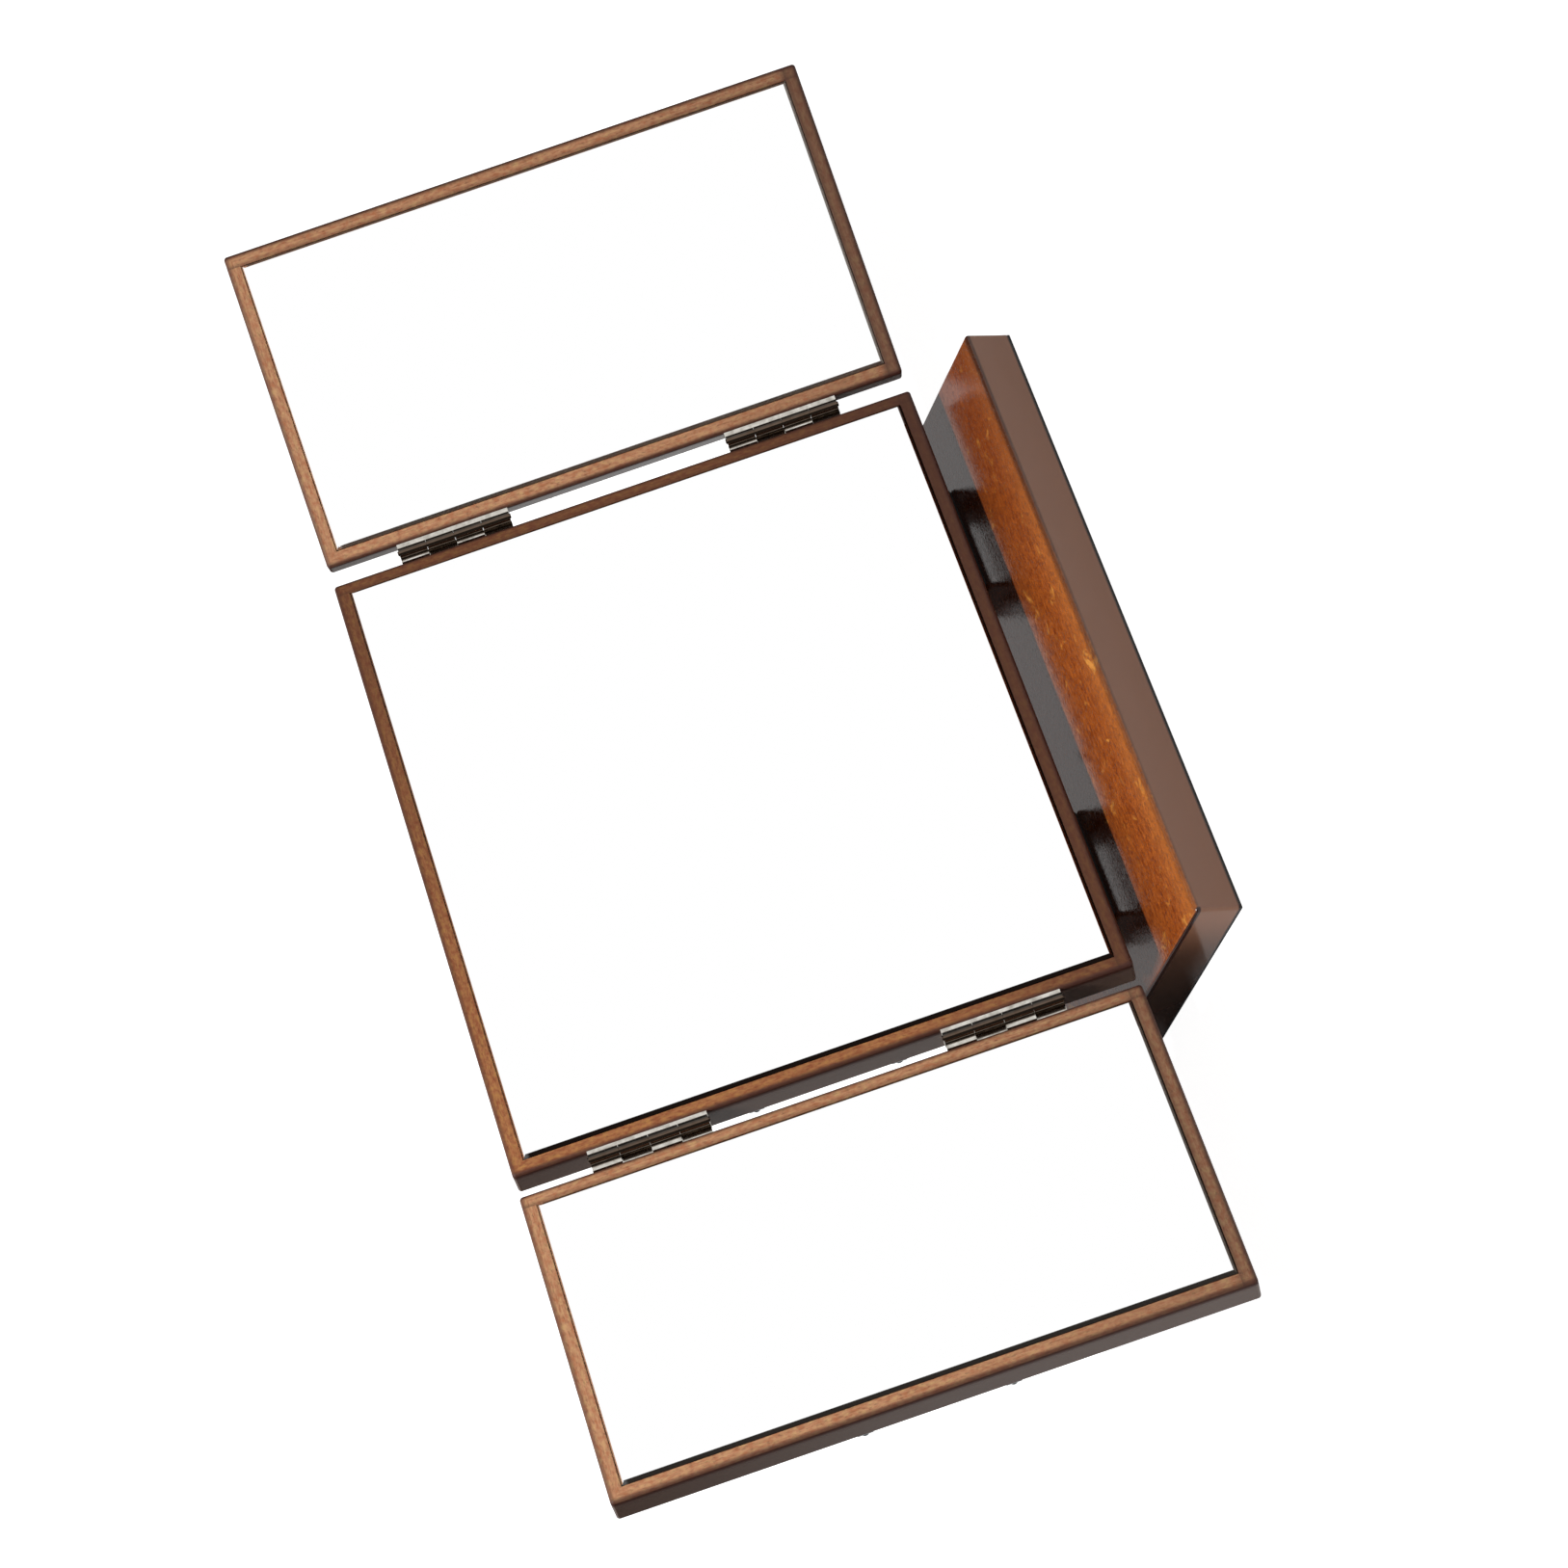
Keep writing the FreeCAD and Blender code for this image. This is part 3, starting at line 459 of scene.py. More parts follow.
@dataclass(frozen=True)
class LacqueredBirch(Finish):
    """Stained birch board, polished with clear gloss lacquer.

    The top shows short fibres, a flame figure, a painted sheen near the front, painted shade towards the right, a
    painted shadow under the mirror and small open pores that break up the reflections; the sides are stained a plain
    dark brown, with painted shadow on the left end and painted shade lines along the arrises and the foot.
    """

    pose: Matrix
    deep: str = "#722f0f"
    warm: str = "#b46026"
    # The colour of the painted sheen near the front.
    front_sheen: str = "#d2813a"
    gold: str = "#e49a45"
    # The colour of the pores, and also of the painted shadow under the mirror.
    pore_and_shadow: str = "#4a1f0e"
    # The colour of the painted shade towards the right end.
    right_shade_tone: str = "#6a2c12"
    side: str = "#8d6149"
    # The colour of the painted shadow on the left end.
    end: str = "#2c1a12"
    # The colour of the painted shade lines along the arrises and the painted shadow along the foot.
    arris: str = "#2e130b"
    top_mm: float = 20.9
    foot_mm: float = 1.0
    half_width_mm: float = 152.0
    front_mm: float = -80.0
    # Real pores and fibres are too fine to show, so they are drawn coarser.
    fibre_mm: Triple = (5.0, 1.2, 4.0)
    pore_mm: Triple = (1.8, 0.9, 1.6)
    flame_mm: Triple = (16.0, 9.0, 14.0)
    fibre_ends: Pair = (0.38, 0.62)
    flame_ends: Pair = (0.59, 0.73)
    flame_share: float = 0.85
    pore_ends: Pair = (0.54, 0.68)
    pore_share: float = 0.6
    # Measured from the front edge.
    front_sheen_mm: Pair = (1.0, 16.0)
    front_sheen_share: float = 0.35
    # The painted shadow under the mirror, and where it thins out further back.
    shaded_mm: Pair = (24.0, 44.0)
    shaded_share: float = 0.65
    shadow_fade_mm: Pair = (60.0, 90.0)
    shadow_fade_share: float = 0.25
    # The painted shadow on the left end, darker towards the back.
    end_shadow_mm: Pair = (4.0, 36.0)
    end_shadow_share: float = 0.85
    front_line_mm: Pair = (1.0, 4.0)
    # Measured from the left end, the top and the foot.
    left_end_mm: Pair = (1.2, 2.2)
    side_below_mm: Pair = (-1.5, -0.5)
    end_line_below_mm: tuple[Pair, Pair] = ((-2.6, -1.8), (-0.5, -0.05))
    front_line_below_mm: Pair = (-2.2, -0.9)
    foot_line_mm: Pair = (0.2, 1.3)
    # How strong the painted shade is at the right end.
    right_shade_share: float = 0.55
    front_line_shares: Pair = (0.3, 0.85)
    open_pore_ends: Pair = (0.45, 0.72)
    polish_and_pore_rough: Pair = (0.14, 0.36)
    ior: float = 1.5
    pore_depth_mm: float = 0.08

    def draw(self, tree: Tree, shader: Node) -> None:
        """Draws the figured top, the plain sides with painted shadow on the left end, and painted shade lines along
        the edges.

        Args:
            tree: The material's tree.
            shader: Its principled shader.
        """
        place = own_axes(tree, self.pose)
        across, back, up = add_node(tree, "SeparateXYZ", links={0: place}).outputs
        pores = lumps(tree, place, self.pore_mm, detail=2.0, warp=0.5)
        wood = self.top(tree, place, across, back, pores)
        at_end = share(
            tree, Fade(across, *offset(-self.half_width_mm, self.left_end_mm), 1.0, 0.0, Ease.SOFT))
        # Painted shadow on the left end, darker towards the back.
        dark = Fade(back, *offset(self.front_mm, self.end_shadow_mm), 0.0, self.end_shadow_share, Ease.SOFT)
        stain = lay(tree, self.side, self.end, at_end, dark)
        on_side = share(tree, Fade(up, *offset(self.top_mm, self.side_below_mm), 1.0, 0.0, Ease.SOFT))
        wood = lay(tree, wood, stain, on_side)
        wood = self.lines(tree, wood, across, back, up, at_end)
        open_pores = share(tree, pores, Fade(on_side, 0.0, 1.0, 1.0, 0.0))
        rough = share(tree, Fade(open_pores, *self.open_pore_ends, *self.polish_and_pore_rough))
        self.feed(tree, shader, wood, rough, open_pores, self.pore_depth_mm)
        shader.inputs["IOR"].default_value = self.ior

    def top(self, tree: Tree, place: Socket, across: Socket, back: Socket, pores: Socket) -> Socket:
        """Draws the top's fibres, flame figure and pores, a painted sheen at the front and a painted shadow under the
        mirror.

        Args:
            tree: The material's tree.
            place: A place in millimetres.
            across: The place across the board.
            back: The place from the front to the back.
            pores: The pattern of the pores.

        Returns:
            The colour of the top.
        """
        front = self.front_mm
        fibres = lumps(tree, place, self.fibre_mm, detail=6.0, rough=0.8, warp=0.7)
        flame = lumps(tree, place, self.flame_mm, detail=4.0, rough=0.6, warp=1.2)
        wood = lay(tree, self.deep, self.warm, Fade(fibres, *self.fibre_ends))
        # Painted sheen: lighter and warmer near the front edge.
        front_sheen = Fade(back, *offset(front, self.front_sheen_mm), self.front_sheen_share, 0.0, Ease.SOFT)
        wood = lay(tree, wood, self.front_sheen, front_sheen)
        wood = lay(tree, wood, self.gold, Fade(flame, *self.flame_ends, 0.0, self.flame_share, Ease.SOFT))
        # Painted shade, darker towards the right end.
        wood = lay(tree, wood, self.right_shade_tone, Fade(across, 0.0, self.half_width_mm, 0.0, self.right_shade_share, Ease.SOFT))
        # Painted shadow under the mirror's foot, thinning out further back.
        shaded = Fade(back, *offset(front, self.shaded_mm), 0.0, self.shaded_share, Ease.SOFT)
        shadow_fade = Fade(back, *offset(front, self.shadow_fade_mm), 1.0, self.shadow_fade_share, Ease.SOFT)
        wood = lay(tree, wood, self.pore_and_shadow, shaded, shadow_fade)
        return lay(tree, wood, self.pore_and_shadow, Fade(pores, *self.pore_ends, 0.0, self.pore_share))

    def lines(self, tree: Tree, wood: Socket, across: Socket, back: Socket, up: Socket, at_end: Socket) -> Socket:
        """Paints lines of shade along the left and front arrises, and a contact shadow along the foot.

        Args:
            tree: The material's tree.
            wood: The colour of the board.
            across: The place across the board.
            back: The place from the front to the back.
            up: The height.
            at_end: The share of the left end.

        Returns:
            The colour with the lines on it.
        """
        top, half = self.top_mm, self.half_width_mm
        lip_mm, drop_mm = self.end_line_below_mm
        # Painted shade along the left arris.
        drop = Fade(up, *offset(top, drop_mm), 1.0, 0.0, Ease.SOFT)
        lip = Fade(up, *offset(top, lip_mm), ease=Ease.SOFT)
        wood = lay(tree, wood, self.arris, drop, lip, at_end)
        # Painted shade along the front arris, stronger towards the right.
        rise = Fade(up, *offset(top, self.front_line_below_mm), ease=Ease.SOFT)
        fore = Fade(back, *offset(self.front_mm, self.front_line_mm), 1.0, 0.0, Ease.SOFT)
        worn = Fade(across, -half, half, *self.front_line_shares)
        wood = lay(tree, wood, self.arris, rise, fore, worn)
        # Painted contact shadow along the foot.
        foot = Fade(up, *offset(self.foot_mm, self.foot_line_mm), 1.0, 0.0, Ease.SOFT)
        return lay(tree, wood, self.arris, foot)


@dataclass(frozen=True)
class SilveredGlass(Finish):
    """Float glass, bevelled, silvered behind and polished.

    The front gives a bright, nearly perfect reflection with faint wiping marks; the bevel is painted dark as shade
    and dark reflection at the sides and the foot, but not at the top.
    """

    pose: Matrix
    # The colour of the painted shade and dark reflection on the bevel.
    bevel: str
    bevel_haze: float
    tint: str = "#ffffff"
    wipe_mm: float = 60.0
    wipe_ends: Pair = (0.35, 0.65)
    wipe_rough: Pair = (0.004, 0.02)
    height_mm: float = 260.0
    top_mm: float = 9.0
    top_step_mm: float = 1.0
    bevel_ends_mm: Pair = (-0.98, -0.85)

    def draw(self, tree: Tree, shader: Node) -> None:
        """Draws a mirror whose haze varies a little where it was wiped, and the painted shade on its bevel.

        Args:
            tree: The material's tree.
            shader: Its principled shader.
        """
        place = own_axes(tree, self.pose)
        _, inward, up = add_node(tree, "SeparateXYZ", links={0: place}).outputs
        wipes = lumps(tree, place, (self.wipe_mm,) * 3, detail=3.0, warp=0.8)
        haze = share(tree, Fade(wipes, *self.wipe_ends, *self.wipe_rough))
        top = self.height_mm - self.top_mm
        # Painted shade and dark reflection on the bevel at the sides and the foot, not at the top.
        dark = share(tree, Fade(inward, *self.bevel_ends_mm), Fade(up, top, top + self.top_step_mm, 1.0, 0.0))
        tree.links.new(lay(tree, self.tint, self.bevel, dark), shader.inputs["Base Color"])
        ground = add_node(tree, "Math", {1: self.bevel_haze}, {0: dark, 2: haze}, operation="MULTIPLY_ADD")
        tree.links.new(ground.outputs[0], shader.inputs["Roughness"])
        shader.inputs["Metallic"].default_value = 1.0


@dataclass(frozen=True)
class PlatedSteel(Finish):
    """Pressed steel with a bright plating: grey metal with fine rolling marks and cloudy wear."""

    bright: str
    dull: str
    polish: float
    haze: float = 0.08
    mark_mm: Triple = (9.0, 0.35, 9.0)
    mark_depth_mm: float = 0.0008
    cloud_mm: float = 3.5
    cloud_ends: Pair = (0.4, 0.7)
    haze_ends: Pair = (0.3, 0.7)

    def tone(self, tree: Tree, clouds: Socket) -> Socket:
        """Draws the metal's colour, cloudy where it is worn."""
        return lay(tree, self.bright, self.dull, Fade(clouds, *self.cloud_ends))

    def draw(self, tree: Tree, shader: Node) -> None:
        """Draws metal with rolling marks and cloudy wear.

        Args:
            tree: The material's tree.
            shader: Its principled shader.
        """
        place = own_axes(tree, Matrix.Identity(4))
        marks = lumps(tree, place, self.mark_mm, detail=2.0)
        clouds = lumps(tree, place, (self.cloud_mm,) * 3, detail=3.0)
        rough = share(tree, Fade(clouds, *self.haze_ends, self.polish, self.polish + self.haze))
        self.feed(tree, shader, self.tone(tree, clouds), rough, marks, self.mark_depth_mm)
        shader.inputs["Metallic"].default_value = 1.0


@dataclass(frozen=True)
class WornPlatingWithShadedBarrel(PlatedSteel):
    """Nickel-plated hinge steel with cloudy wear: bright leaves, and a barrel painted brown to black as shade."""

    pose: Matrix = field(default_factory=lambda: Matrix.Identity(4))
    # The colours of the painted shade on the barrel, brown turning black towards its right.
    brown: str = "#5d4838"
    black: str = "#17120f"
    barrel_mm: float = 2.2
    barrel_ends_mm: Pair = (0.05, 0.2)
    barrel_shade_share: float = 0.94
    turn_mm: Pair = (-1.4, 0.5)

    def tone(self, tree: Tree, clouds: Socket) -> Socket:
        """Draws the plating, and the painted shade on the barrel, darker towards its right.

        Args:
            tree: The material's tree.
            clouds: The pattern of the worn plating.

        Returns:
            The colour of the hinge.
        """
        across, inward, _ = add_node(tree, "SeparateXYZ", links={0: own_axes(tree, self.pose)}).outputs
        flat = add_node(tree, "CombineXYZ", links={0: across, 1: inward}).outputs[0]
        radius = add_node(tree, "VectorMath", links={0: flat}, operation="LENGTH").outputs["Value"]
        # Painted shade on the barrel: brown, turning black towards its right.
        barrel_shade = lay(tree, self.brown, self.black, Fade(across, *self.turn_mm, ease=Ease.SOFT))
        barrel = Fade(radius, *offset(self.barrel_mm, self.barrel_ends_mm), self.barrel_shade_share, 0.0)
        return lay(tree, super().tone(tree, clouds), barrel_shade, barrel)


@dataclass(frozen=True)
class PaintedSteel(Finish):
    """Bent sheet steel, sprayed black: a deep satin black with the paint's slight orange peel."""

    paint: str = "#101011"
    worn: str = "#1d1c1c"
    peel_mm: float = 0.8
    peel_depth_mm: float = 0.02
    cloud_mm: float = 8.0
    cloud_ends: Pair = (0.4, 0.75)
    rough_ends: Pair = (0.3, 0.7)
    rough: Pair = (0.30, 0.44)

    def draw(self, tree: Tree, shader: Node) -> None:
        """Draws satin paint with orange peel and faint dusty clouds.

        Args:
            tree: The material's tree.
            shader: Its principled shader.
        """
        place = own_axes(tree, Matrix.Identity(4))
        peel = lumps(tree, place, (self.peel_mm,) * 3, detail=1.0)
        clouds = lumps(tree, place, (self.cloud_mm,) * 3, detail=3.0)
        colour = lay(tree, self.paint, self.worn, Fade(clouds, *self.cloud_ends))
        rough = share(tree, Fade(clouds, *self.rough_ends, *self.rough))
        self.feed(tree, shader, colour, rough, peel, self.peel_depth_mm)


@dataclass(frozen=True)
class StainedBoard(Finish):
    """Pressed fibre board, stained brown: dull and fine-grained, with faint mottling from the fibres."""

    pale: str = "#5d4232"
    deep: str = "#412c20"
    # Real fibres are too fine to show, so their matted lumps are drawn.
    fibre_mm: float = 1.4
    fibre_ends: Pair = (0.35, 0.7)
    fibre_depth_mm: float = 0.03
    cloud_mm: float = 45.0
    cloud_ends: Pair = (0.35, 0.7)
    cloud_share: float = 0.5
    rough_ends: Pair = (0.3, 0.7)
    rough: Pair = (0.55, 0.72)

    def draw(self, tree: Tree, shader: Node) -> None:
        """Draws matted fibres and broad stain clouds.

        Args:
            tree: The material's tree.
            shader: Its principled shader.
        """
        place = own_axes(tree, Matrix.Identity(4))
        fibres = lumps(tree, place, (self.fibre_mm,) * 3, detail=4.0, rough=0.7, warp=1.0)
        clouds = lumps(tree, place, (self.cloud_mm,) * 3, detail=2.0)
        colour = lay(tree, self.pale, self.deep, Fade(fibres, *self.fibre_ends))
        colour = lay(tree, colour, self.deep, Fade(clouds, *self.cloud_ends, 0.0, self.cloud_share))
        rough = share(tree, Fade(fibres, *self.rough_ends, *self.rough))
        self.feed(tree, shader, colour, rough, fibres, self.fibre_depth_mm)


@dataclass(frozen=True)
class PressedFelt(Finish):
    """Pressed wool felt: a dark, soft sheet of matted fibres."""

    pale: str = "#2b2522"
    deep: str = "#14110f"
    # Real fibres are too fine to show, so their matted lumps are drawn.
    fibre_mm: float = 0.9
    fibre_ends: Pair = (0.35, 0.7)
    fibre_depth_mm: float = 0.12
    rough: float = 0.95
    sheen: float = 0.3

    def draw(self, tree: Tree, shader: Node) -> None:
        """Draws matted fibres with a faint sheen.

        Args:
            tree: The material's tree.
            shader: Its principled shader.
        """
        place = own_axes(tree, Matrix.Identity(4))
        fibres = lumps(tree, place, (self.fibre_mm,) * 3, detail=5.0, rough=0.75, warp=1.5)
        colour = lay(tree, self.deep, self.pale, Fade(fibres, *self.fibre_ends))
        self.feed(tree, shader, colour, self.rough, fibres, self.fibre_depth_mm)
        shader.inputs["Sheen Weight"].default_value = self.sheen


def dress(node: str, material: bpy.types.Material) -> None:
    """Gives a CAD node one material on all its slots.

    Args:
        node: The node's name.
        material: What it gets.
    """
    for slot in frame["nodes"][node].material_slots:
        slot.material = material
    log.info("%s: %s", node, material.name)


@dataclass
class MirrorPanel:
    """One framed mirror: mitred bars, bevelled glass, backing board and its turn buttons."""

    name: str
    pose: Matrix
    half_width_mm: float
    tones: BarTones
    # The colour and haze of the painted shade on the glass's bevel.
    bevel: str = "#5a4740"
    bevel_haze: float = 0.0
    bars: dict[str, Run] = field(default_factory=lambda: {
        "top_rail": Run.ACROSS, "bottom_rail": Run.ACROSS, "left_stile": Run.UPRIGHT, "right_stile": Run.UPRIGHT,
    })

    def dress(self, board: bpy.types.Material, zinc: bpy.types.Material) -> None:
        """Gives the panel's pieces their finishes.

        Args:
            board: The backing board.
            zinc: The turn buttons and their screws.
        """
        woods = {
            run: StainedBeech(
                f"stained_beech_{self.name}_{run.name.lower()}", self.pose, self.half_width_mm, run, self.tones,
            ).material()
            for run in Run
        }
        for bar, run in self.bars.items():
            dress(f"{self.name}_{bar}", woods[run])
        glass = SilveredGlass(f"silvered_float_glass_{self.name}", self.pose, self.bevel, self.bevel_haze)
        dress(f"{self.name}_glass", glass.material())
        dress(f"{self.name}_backing", board)
        dress(f"{self.name}_turn_buttons", zinc)
        dress(f"{self.name}_button_screws", zinc)


@dataclass
class Triptych:
    """The three panels as they stand: the centre on its pivot, each wing swung about its hinges."""

    panel_depth_mm: float = 13.4
    pivot_behind_mm: float = 13.5
    pivot_rise_mm: float = 17.8
    hinge_proud_mm: float = 1.3
    centre_width_mm: float = 303.4
    wing_width_mm: float = 143.3
    gap_mm: dict[Side, float] = field(default_factory=lambda: {Side.LEFT: 9.4, Side.RIGHT: 8.2})
    rest_swing_deg: dict[Side, float] = field(default_factory=lambda: {Side.LEFT: 2.5, Side.RIGHT: 26.5})

    def centre_pose(self) -> Matrix:
        """Works out where the centre panel's lower front edge is.

        Returns:
            The panel's axes (across, into the panel, up the panel) and origin.
        """
        joints = {joint["name"]: joint for joint in frame["record"]["behaviour"]["joints"]}
        pivot = Vector(joints["tilt"]["pos_m"])
        up = Vector(joints["left_swing"]["axis"]).normalized()
        tilt = Matrix.Rotation(-math.atan2(up.y, up.z), 4, "X")
        on_panel = Vector((0, self.panel_depth_mm + self.pivot_behind_mm, self.pivot_rise_mm)) * MM
        return Matrix.Translation(pivot - tilt @ on_panel) @ tilt

    def hinge_pose(self, side: Side) -> Matrix:
        """Works out where a wing's hinge axis stands.

        Args:
            side: The side that the wing hangs on.

        Returns:
            The centre panel's axes, with the origin on the hinge axis.
        """
        hinge = side.value * (self.centre_width_mm + self.gap_mm[side]) / 2
        return self.centre_pose() @ Matrix.Translation(Vector((hinge, -self.hinge_proud_mm, 0)) * MM)

    def wing_pose(self, side: Side) -> Matrix:
        """Works out where a wing's lower front edge is.

        Args:
            side: The side it hangs on.

        Returns:
            The wing's axes and origin.
        """
        swing = Matrix.Rotation(math.radians(-side.value * self.rest_swing_deg[side]), 4, "Z")
        across = side.value * (self.gap_mm[side] + self.wing_width_mm) / 2
        outward = Vector((across, self.hinge_proud_mm, 0)) * MM
        return self.hinge_pose(side) @ swing @ Matrix.Translation(outward)

    def panels(self) -> list[MirrorPanel]:
        """Lists the panels with the tones of their stain and how strong their painted shades are.

        Returns:
            The centre panel and both wings.
        """
        half_wing = self.wing_width_mm / 2
        # The centre gets more painted shade to the right, towards the foot and on the sill.
        centre_tones = BarTones(
            "#be7e4f", "#945a35", "#c48e4c", "#8c4220", edge="#43200f",
            right_shade=0.62, foot_shade=0.66, sill_shade=0.4)
        left_tones = BarTones("#d8a079", "#ab7450", "#d9b078", "#b46a42", sill_shade=0.35, left_rim=0.8)
        right_tones = BarTones("#d29b75", "#a6704c", "#d4aa74", "#ae643d", sill_shade=0.6)
        return [
            MirrorPanel("centre", self.centre_pose(), self.centre_width_mm / 2, centre_tones),
            # The wings' bevels get a lighter painted shade and more haze.
            MirrorPanel("left", self.wing_pose(Side.LEFT), half_wing, left_tones, "#6f6862", 0.3),
            MirrorPanel("right", self.wing_pose(Side.RIGHT), half_wing, right_tones, "#a39c95", 0.35),
        ]


@dataclass
class WingHinges:
    """The plated butt hinges of both wings, with their pins and screws."""

    bright: str = "#d8d4cc"
    dull: str = "#a8a39a"
    polish: float = 0.10
    levels: tuple[str, ...] = ("upper", "lower")
    pieces: tuple[str, ...] = ("wing_leaf", "centre_leaf", "pin")

    def dress(self, axes: dict[Side, Matrix], nickel: bpy.types.Material) -> None:
        """Gives the leaves, pins and screws their plating.

        Args:
            axes: Where each side's hinge axis stands.
            nickel: The plating of the screws.
        """
        for side, pose in axes.items():
            name = side.name.lower()
            plating = WornPlatingWithShadedBarrel(
                f"worn_nickel_plated_steel_{name}", self.bright, self.dull, self.polish, pose=pose).material()
            for level in self.levels:
                for piece in self.pieces:
                    dress(f"{name}_{level}_hinge_{piece}", plating)
            dress(f"{name}_wing_hinge_screws", nickel)
        dress("centre_hinge_screws", nickel)


@dataclass
class TiltHinges:
    """The two black tilt hinges between the plinth and the centre panel."""

    sides: tuple[str, ...] = ("left", "right")

    def dress(self, black: bpy.types.Material, zinc: bpy.types.Material) -> None:
        """Gives the brackets, arms and fasteners their finishes.

        Args:
            black: The sprayed brackets and arms, and their screws.
            zinc: The bolts, nuts and washers.
        """
        for side in self.sides:
            for piece in ("bracket", "arm"):
                dress(f"tilt_{piece}_{side}", black)
            for piece in ("bolt", "nut", "washers"):
                dress(f"tilt_{piece}_{side}", zinc)
        dress("bracket_screws", black)
        dress("arm_screws", black)


@dataclass
class Plinth:
    """The lacquered board and the felt under it."""

    def dress(self) -> None:
        """Gives the board and the felt their finishes."""
        dress("base_board", LacqueredBirch("lacquered_birch_plinth", Matrix.Identity(4)).material())
        dress("base_felt", PressedFelt("pressed_wool_felt").material())


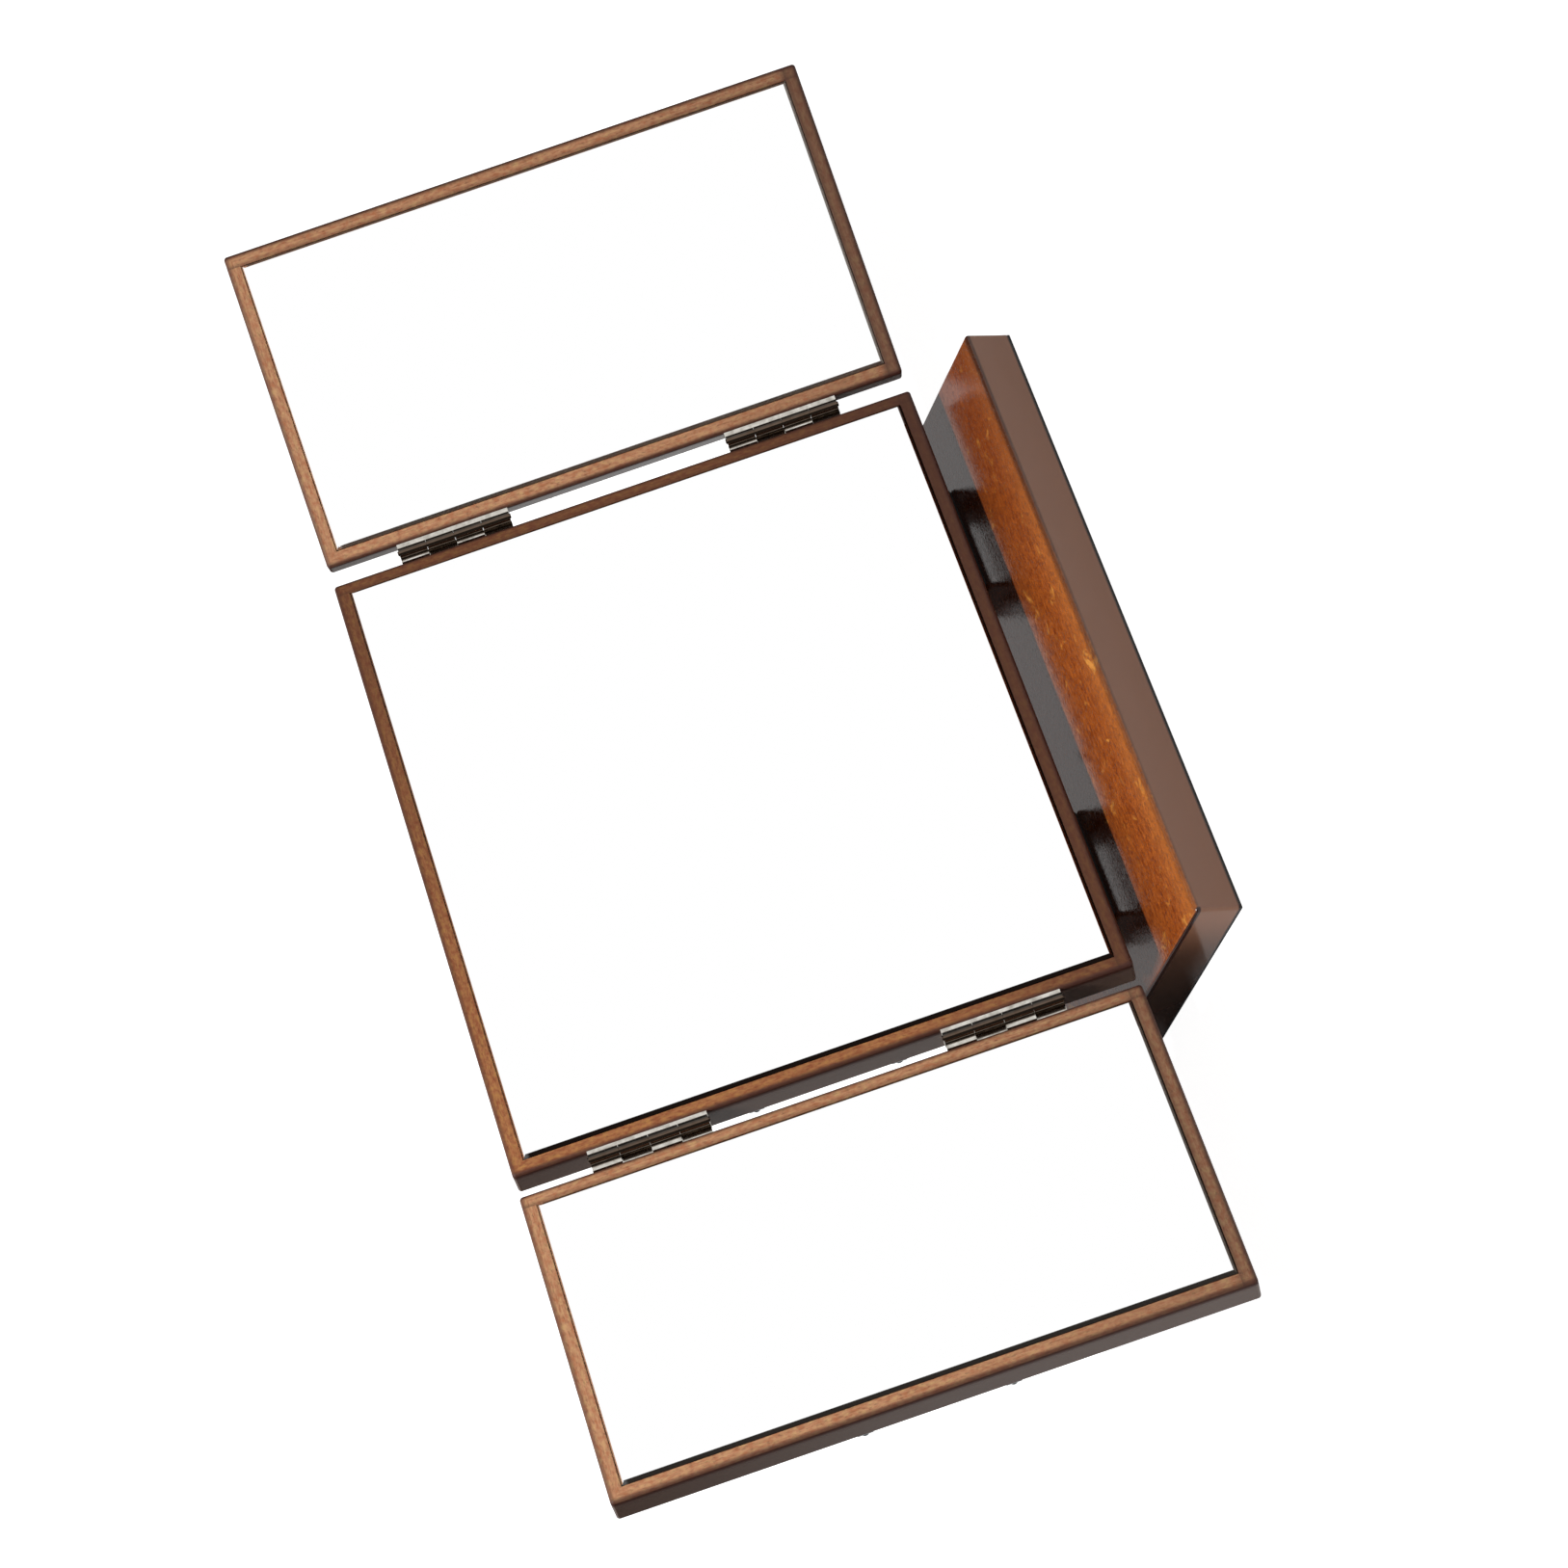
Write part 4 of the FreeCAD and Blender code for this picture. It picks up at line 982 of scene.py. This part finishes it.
@dataclass
class Studio:
    """A white table under one strip lamp that hangs to the left, with dark surroundings beyond the table."""

    floor_reach_m: float = 6.0
    floor_drop_m: float = 0.0003
    floor_glow: float = 0.93
    floor_paint: str = "#f0f0f0"
    floor_far: str = "#3a3a3a"
    table_m: Pair = (0.55, 1.05)
    white: str = "#ffffff"
    ambient: float = 0.10
    dark: float = 0.09
    card_way: Triple = (0.157, -0.88, 0.448)
    card_ends: Pair = (0.70, 0.80)
    rear_ends: Pair = (0.10, 0.35)
    lamp_place_m: Triple = (-0.45, -0.185, 1.5)
    lamp_aim_m: Triple = (0.0, -0.05, 0.1)
    lamp_watts: float = 21.0
    lamp_size_m: Pair = (0.7, 0.08)

    def build(self) -> None:
        """Makes the table, the surroundings and the lamp."""
        self.build_floor()
        self.build_world()
        self.build_lamp()

    def build_lamp(self) -> None:
        """Hangs the strip lamp over the left of the mirror, turned towards it."""
        strip = bpy.data.lights.new("strip_lamp", "AREA")
        strip.shape = "RECTANGLE"
        strip.size, strip.size_y = self.lamp_size_m
        strip.energy = self.lamp_watts
        hung = bpy.data.objects.new("strip_lamp", strip)
        hung.location = self.lamp_place_m
        aim = Vector(self.lamp_aim_m) - Vector(self.lamp_place_m)
        hung.rotation_euler = (0.0, -math.atan2(aim.x, -aim.z), 0.0)
        bpy.context.scene.collection.objects.link(hung)

    def build_floor(self) -> None:
        """Makes a white table that glows for the camera and still takes shadows; beyond it the floor is dark."""
        half = self.floor_reach_m
        mesh = bpy.data.meshes.new("floor")
        corners = [(-half, -half), (half, -half), (half, half), (-half, half)]
        mesh.from_pydata([(x, y, -self.floor_drop_m) for x, y in corners], [], [(0, 1, 2, 3)])
        floor = bpy.data.objects.new("floor", mesh)
        bpy.context.scene.collection.objects.link(floor)
        paint = bpy.data.materials.new("white_table")
        paint.use_nodes = True
        tree = paint.node_tree
        tree.nodes.clear()
        seen = add_node(tree, "LightPath").outputs["Is Camera Ray"]
        place = add_node(tree, "TexCoord").outputs["Object"]
        reach = add_node(tree, "VectorMath", links={0: place}, operation="LENGTH").outputs["Value"]
        near = share(tree, Fade(reach, *self.table_m, 1.0, 0.0, Ease.SOFT))
        white = add_node(tree, "Math", links={0: near, 1: seen}, operation="MAXIMUM").outputs[0]
        colour = lay(tree, self.floor_far, self.floor_paint, white)
        matte = add_node(tree, "BsdfDiffuse", links={"Color": colour})
        level = share(tree, Fade(seen, 0.0, 1.0, 0.0, self.floor_glow))
        glow = add_node(tree, "Emission", links={"Strength": level})
        both = add_node(tree, "AddShader", links={0: matte.outputs[0], 1: glow.outputs[0]})
        add_node(tree, "OutputMaterial", links={"Surface": both.outputs[0]})
        mesh.materials.append(paint)

    def build_world(self) -> None:
        """Makes a surround that is white to the eye, and dark in reflections but for a white card and the rear."""
        world = bpy.data.worlds.new("studio")
        bpy.context.scene.world = world
        world.use_nodes = True
        tree = world.node_tree
        tree.nodes.clear()
        way = add_node(tree, "TexCoord").outputs["Generated"]
        _, rearward, _ = add_node(tree, "SeparateXYZ", links={0: way}).outputs
        towards = add_node(tree, "VectorMath", {1: self.card_way}, {0: way}, operation="DOT_PRODUCT").outputs["Value"]
        card = share(tree, Fade(towards, *self.card_ends, self.dark, 1.0, Ease.SOFT))
        rear = share(tree, Fade(rearward, *self.rear_ends, ease=Ease.SOFT))
        mirrored = add_node(tree, "Math", links={0: card, 1: rear}, operation="MAXIMUM").outputs[0]
        path = add_node(tree, "LightPath").outputs
        reflected = add_node(
            tree, "Math", links={0: path["Is Glossy Ray"], 1: path["Is Transmission Ray"]}, operation="MAXIMUM",
        ).outputs[0]
        level = add_node(
            tree, "Mix", {MIX_LOW_LEVEL: self.ambient}, {MIX_SHARE: reflected, MIX_HIGH_LEVEL: mirrored},
            data_type="FLOAT",
        ).outputs[0]
        seen = add_node(tree, "Math", links={0: level, 1: path["Is Camera Ray"]}, operation="MAXIMUM").outputs[0]
        glow = add_node(tree, "Background", {"Color": linear(self.white)}, {"Strength": seen})
        add_node(tree, "OutputWorld", links={"Surface": glow.outputs[0]})


@dataclass
class PhotoCamera:
    """The photograph's camera: a long lens, high at the left, turned a quarter turn on its side."""

    place_mm: Triple = (-1191.63, -1577.86, 1006.96)
    yaw_deg: float = 36.5643
    pitch_deg: float = -24.003
    roll_deg: float = -2.7147
    focal_px: float = 5461.67
    frame_px: float = 1627.0
    sensor_mm: float = 36.0

    def build(self) -> None:
        """Makes the camera and hands it to the scene."""
        yaw, pitch, roll = (math.radians(a) for a in (self.yaw_deg, self.pitch_deg, self.roll_deg))
        ahead = Vector((math.sin(yaw) * math.cos(pitch), math.cos(yaw) * math.cos(pitch), math.sin(pitch)))
        level = Vector((math.cos(yaw), -math.sin(yaw), 0.0))
        upward = level.cross(ahead)
        right = math.cos(roll) * level + math.sin(roll) * upward
        top = -math.sin(roll) * level + math.cos(roll) * upward
        lens = bpy.data.cameras.new("photo_camera")
        lens.sensor_width = self.sensor_mm
        lens.lens = self.focal_px * self.sensor_mm / self.frame_px
        camera = bpy.data.objects.new("photo_camera", lens)
        turned = Matrix((-top, right, -ahead)).transposed().to_4x4()
        camera.matrix_world = Matrix.Translation(Vector(self.place_mm) * MM) @ turned
        bpy.context.scene.collection.objects.link(camera)
        bpy.context.scene.camera = camera


def main() -> None:
    """Dresses the mirror and sets up the studio."""
    logging.basicConfig(level=logging.INFO, format="%(name)s: %(message)s")
    bpy.context.scene.view_settings.view_transform = "Standard"
    board = StainedBoard("stained_fibre_board").material()
    nickel = PlatedSteel("nickel_plated_steel", bright="#cfcbc3", dull="#a39e95", polish=0.10).material()
    zinc = PlatedSteel("zinc_plated_steel", bright="#c4c6c8", dull="#a3a5a6", polish=0.28).material()
    black = PaintedSteel("black_painted_steel").material()
    triptych = Triptych()
    for panel in triptych.panels():
        panel.dress(board, zinc)
    WingHinges().dress({side: triptych.hinge_pose(side) for side in Side}, nickel)
    TiltHinges().dress(black, zinc)
    Plinth().dress()
    Studio().build()
    PhotoCamera().build()


if __name__ == "__main__":
    main()
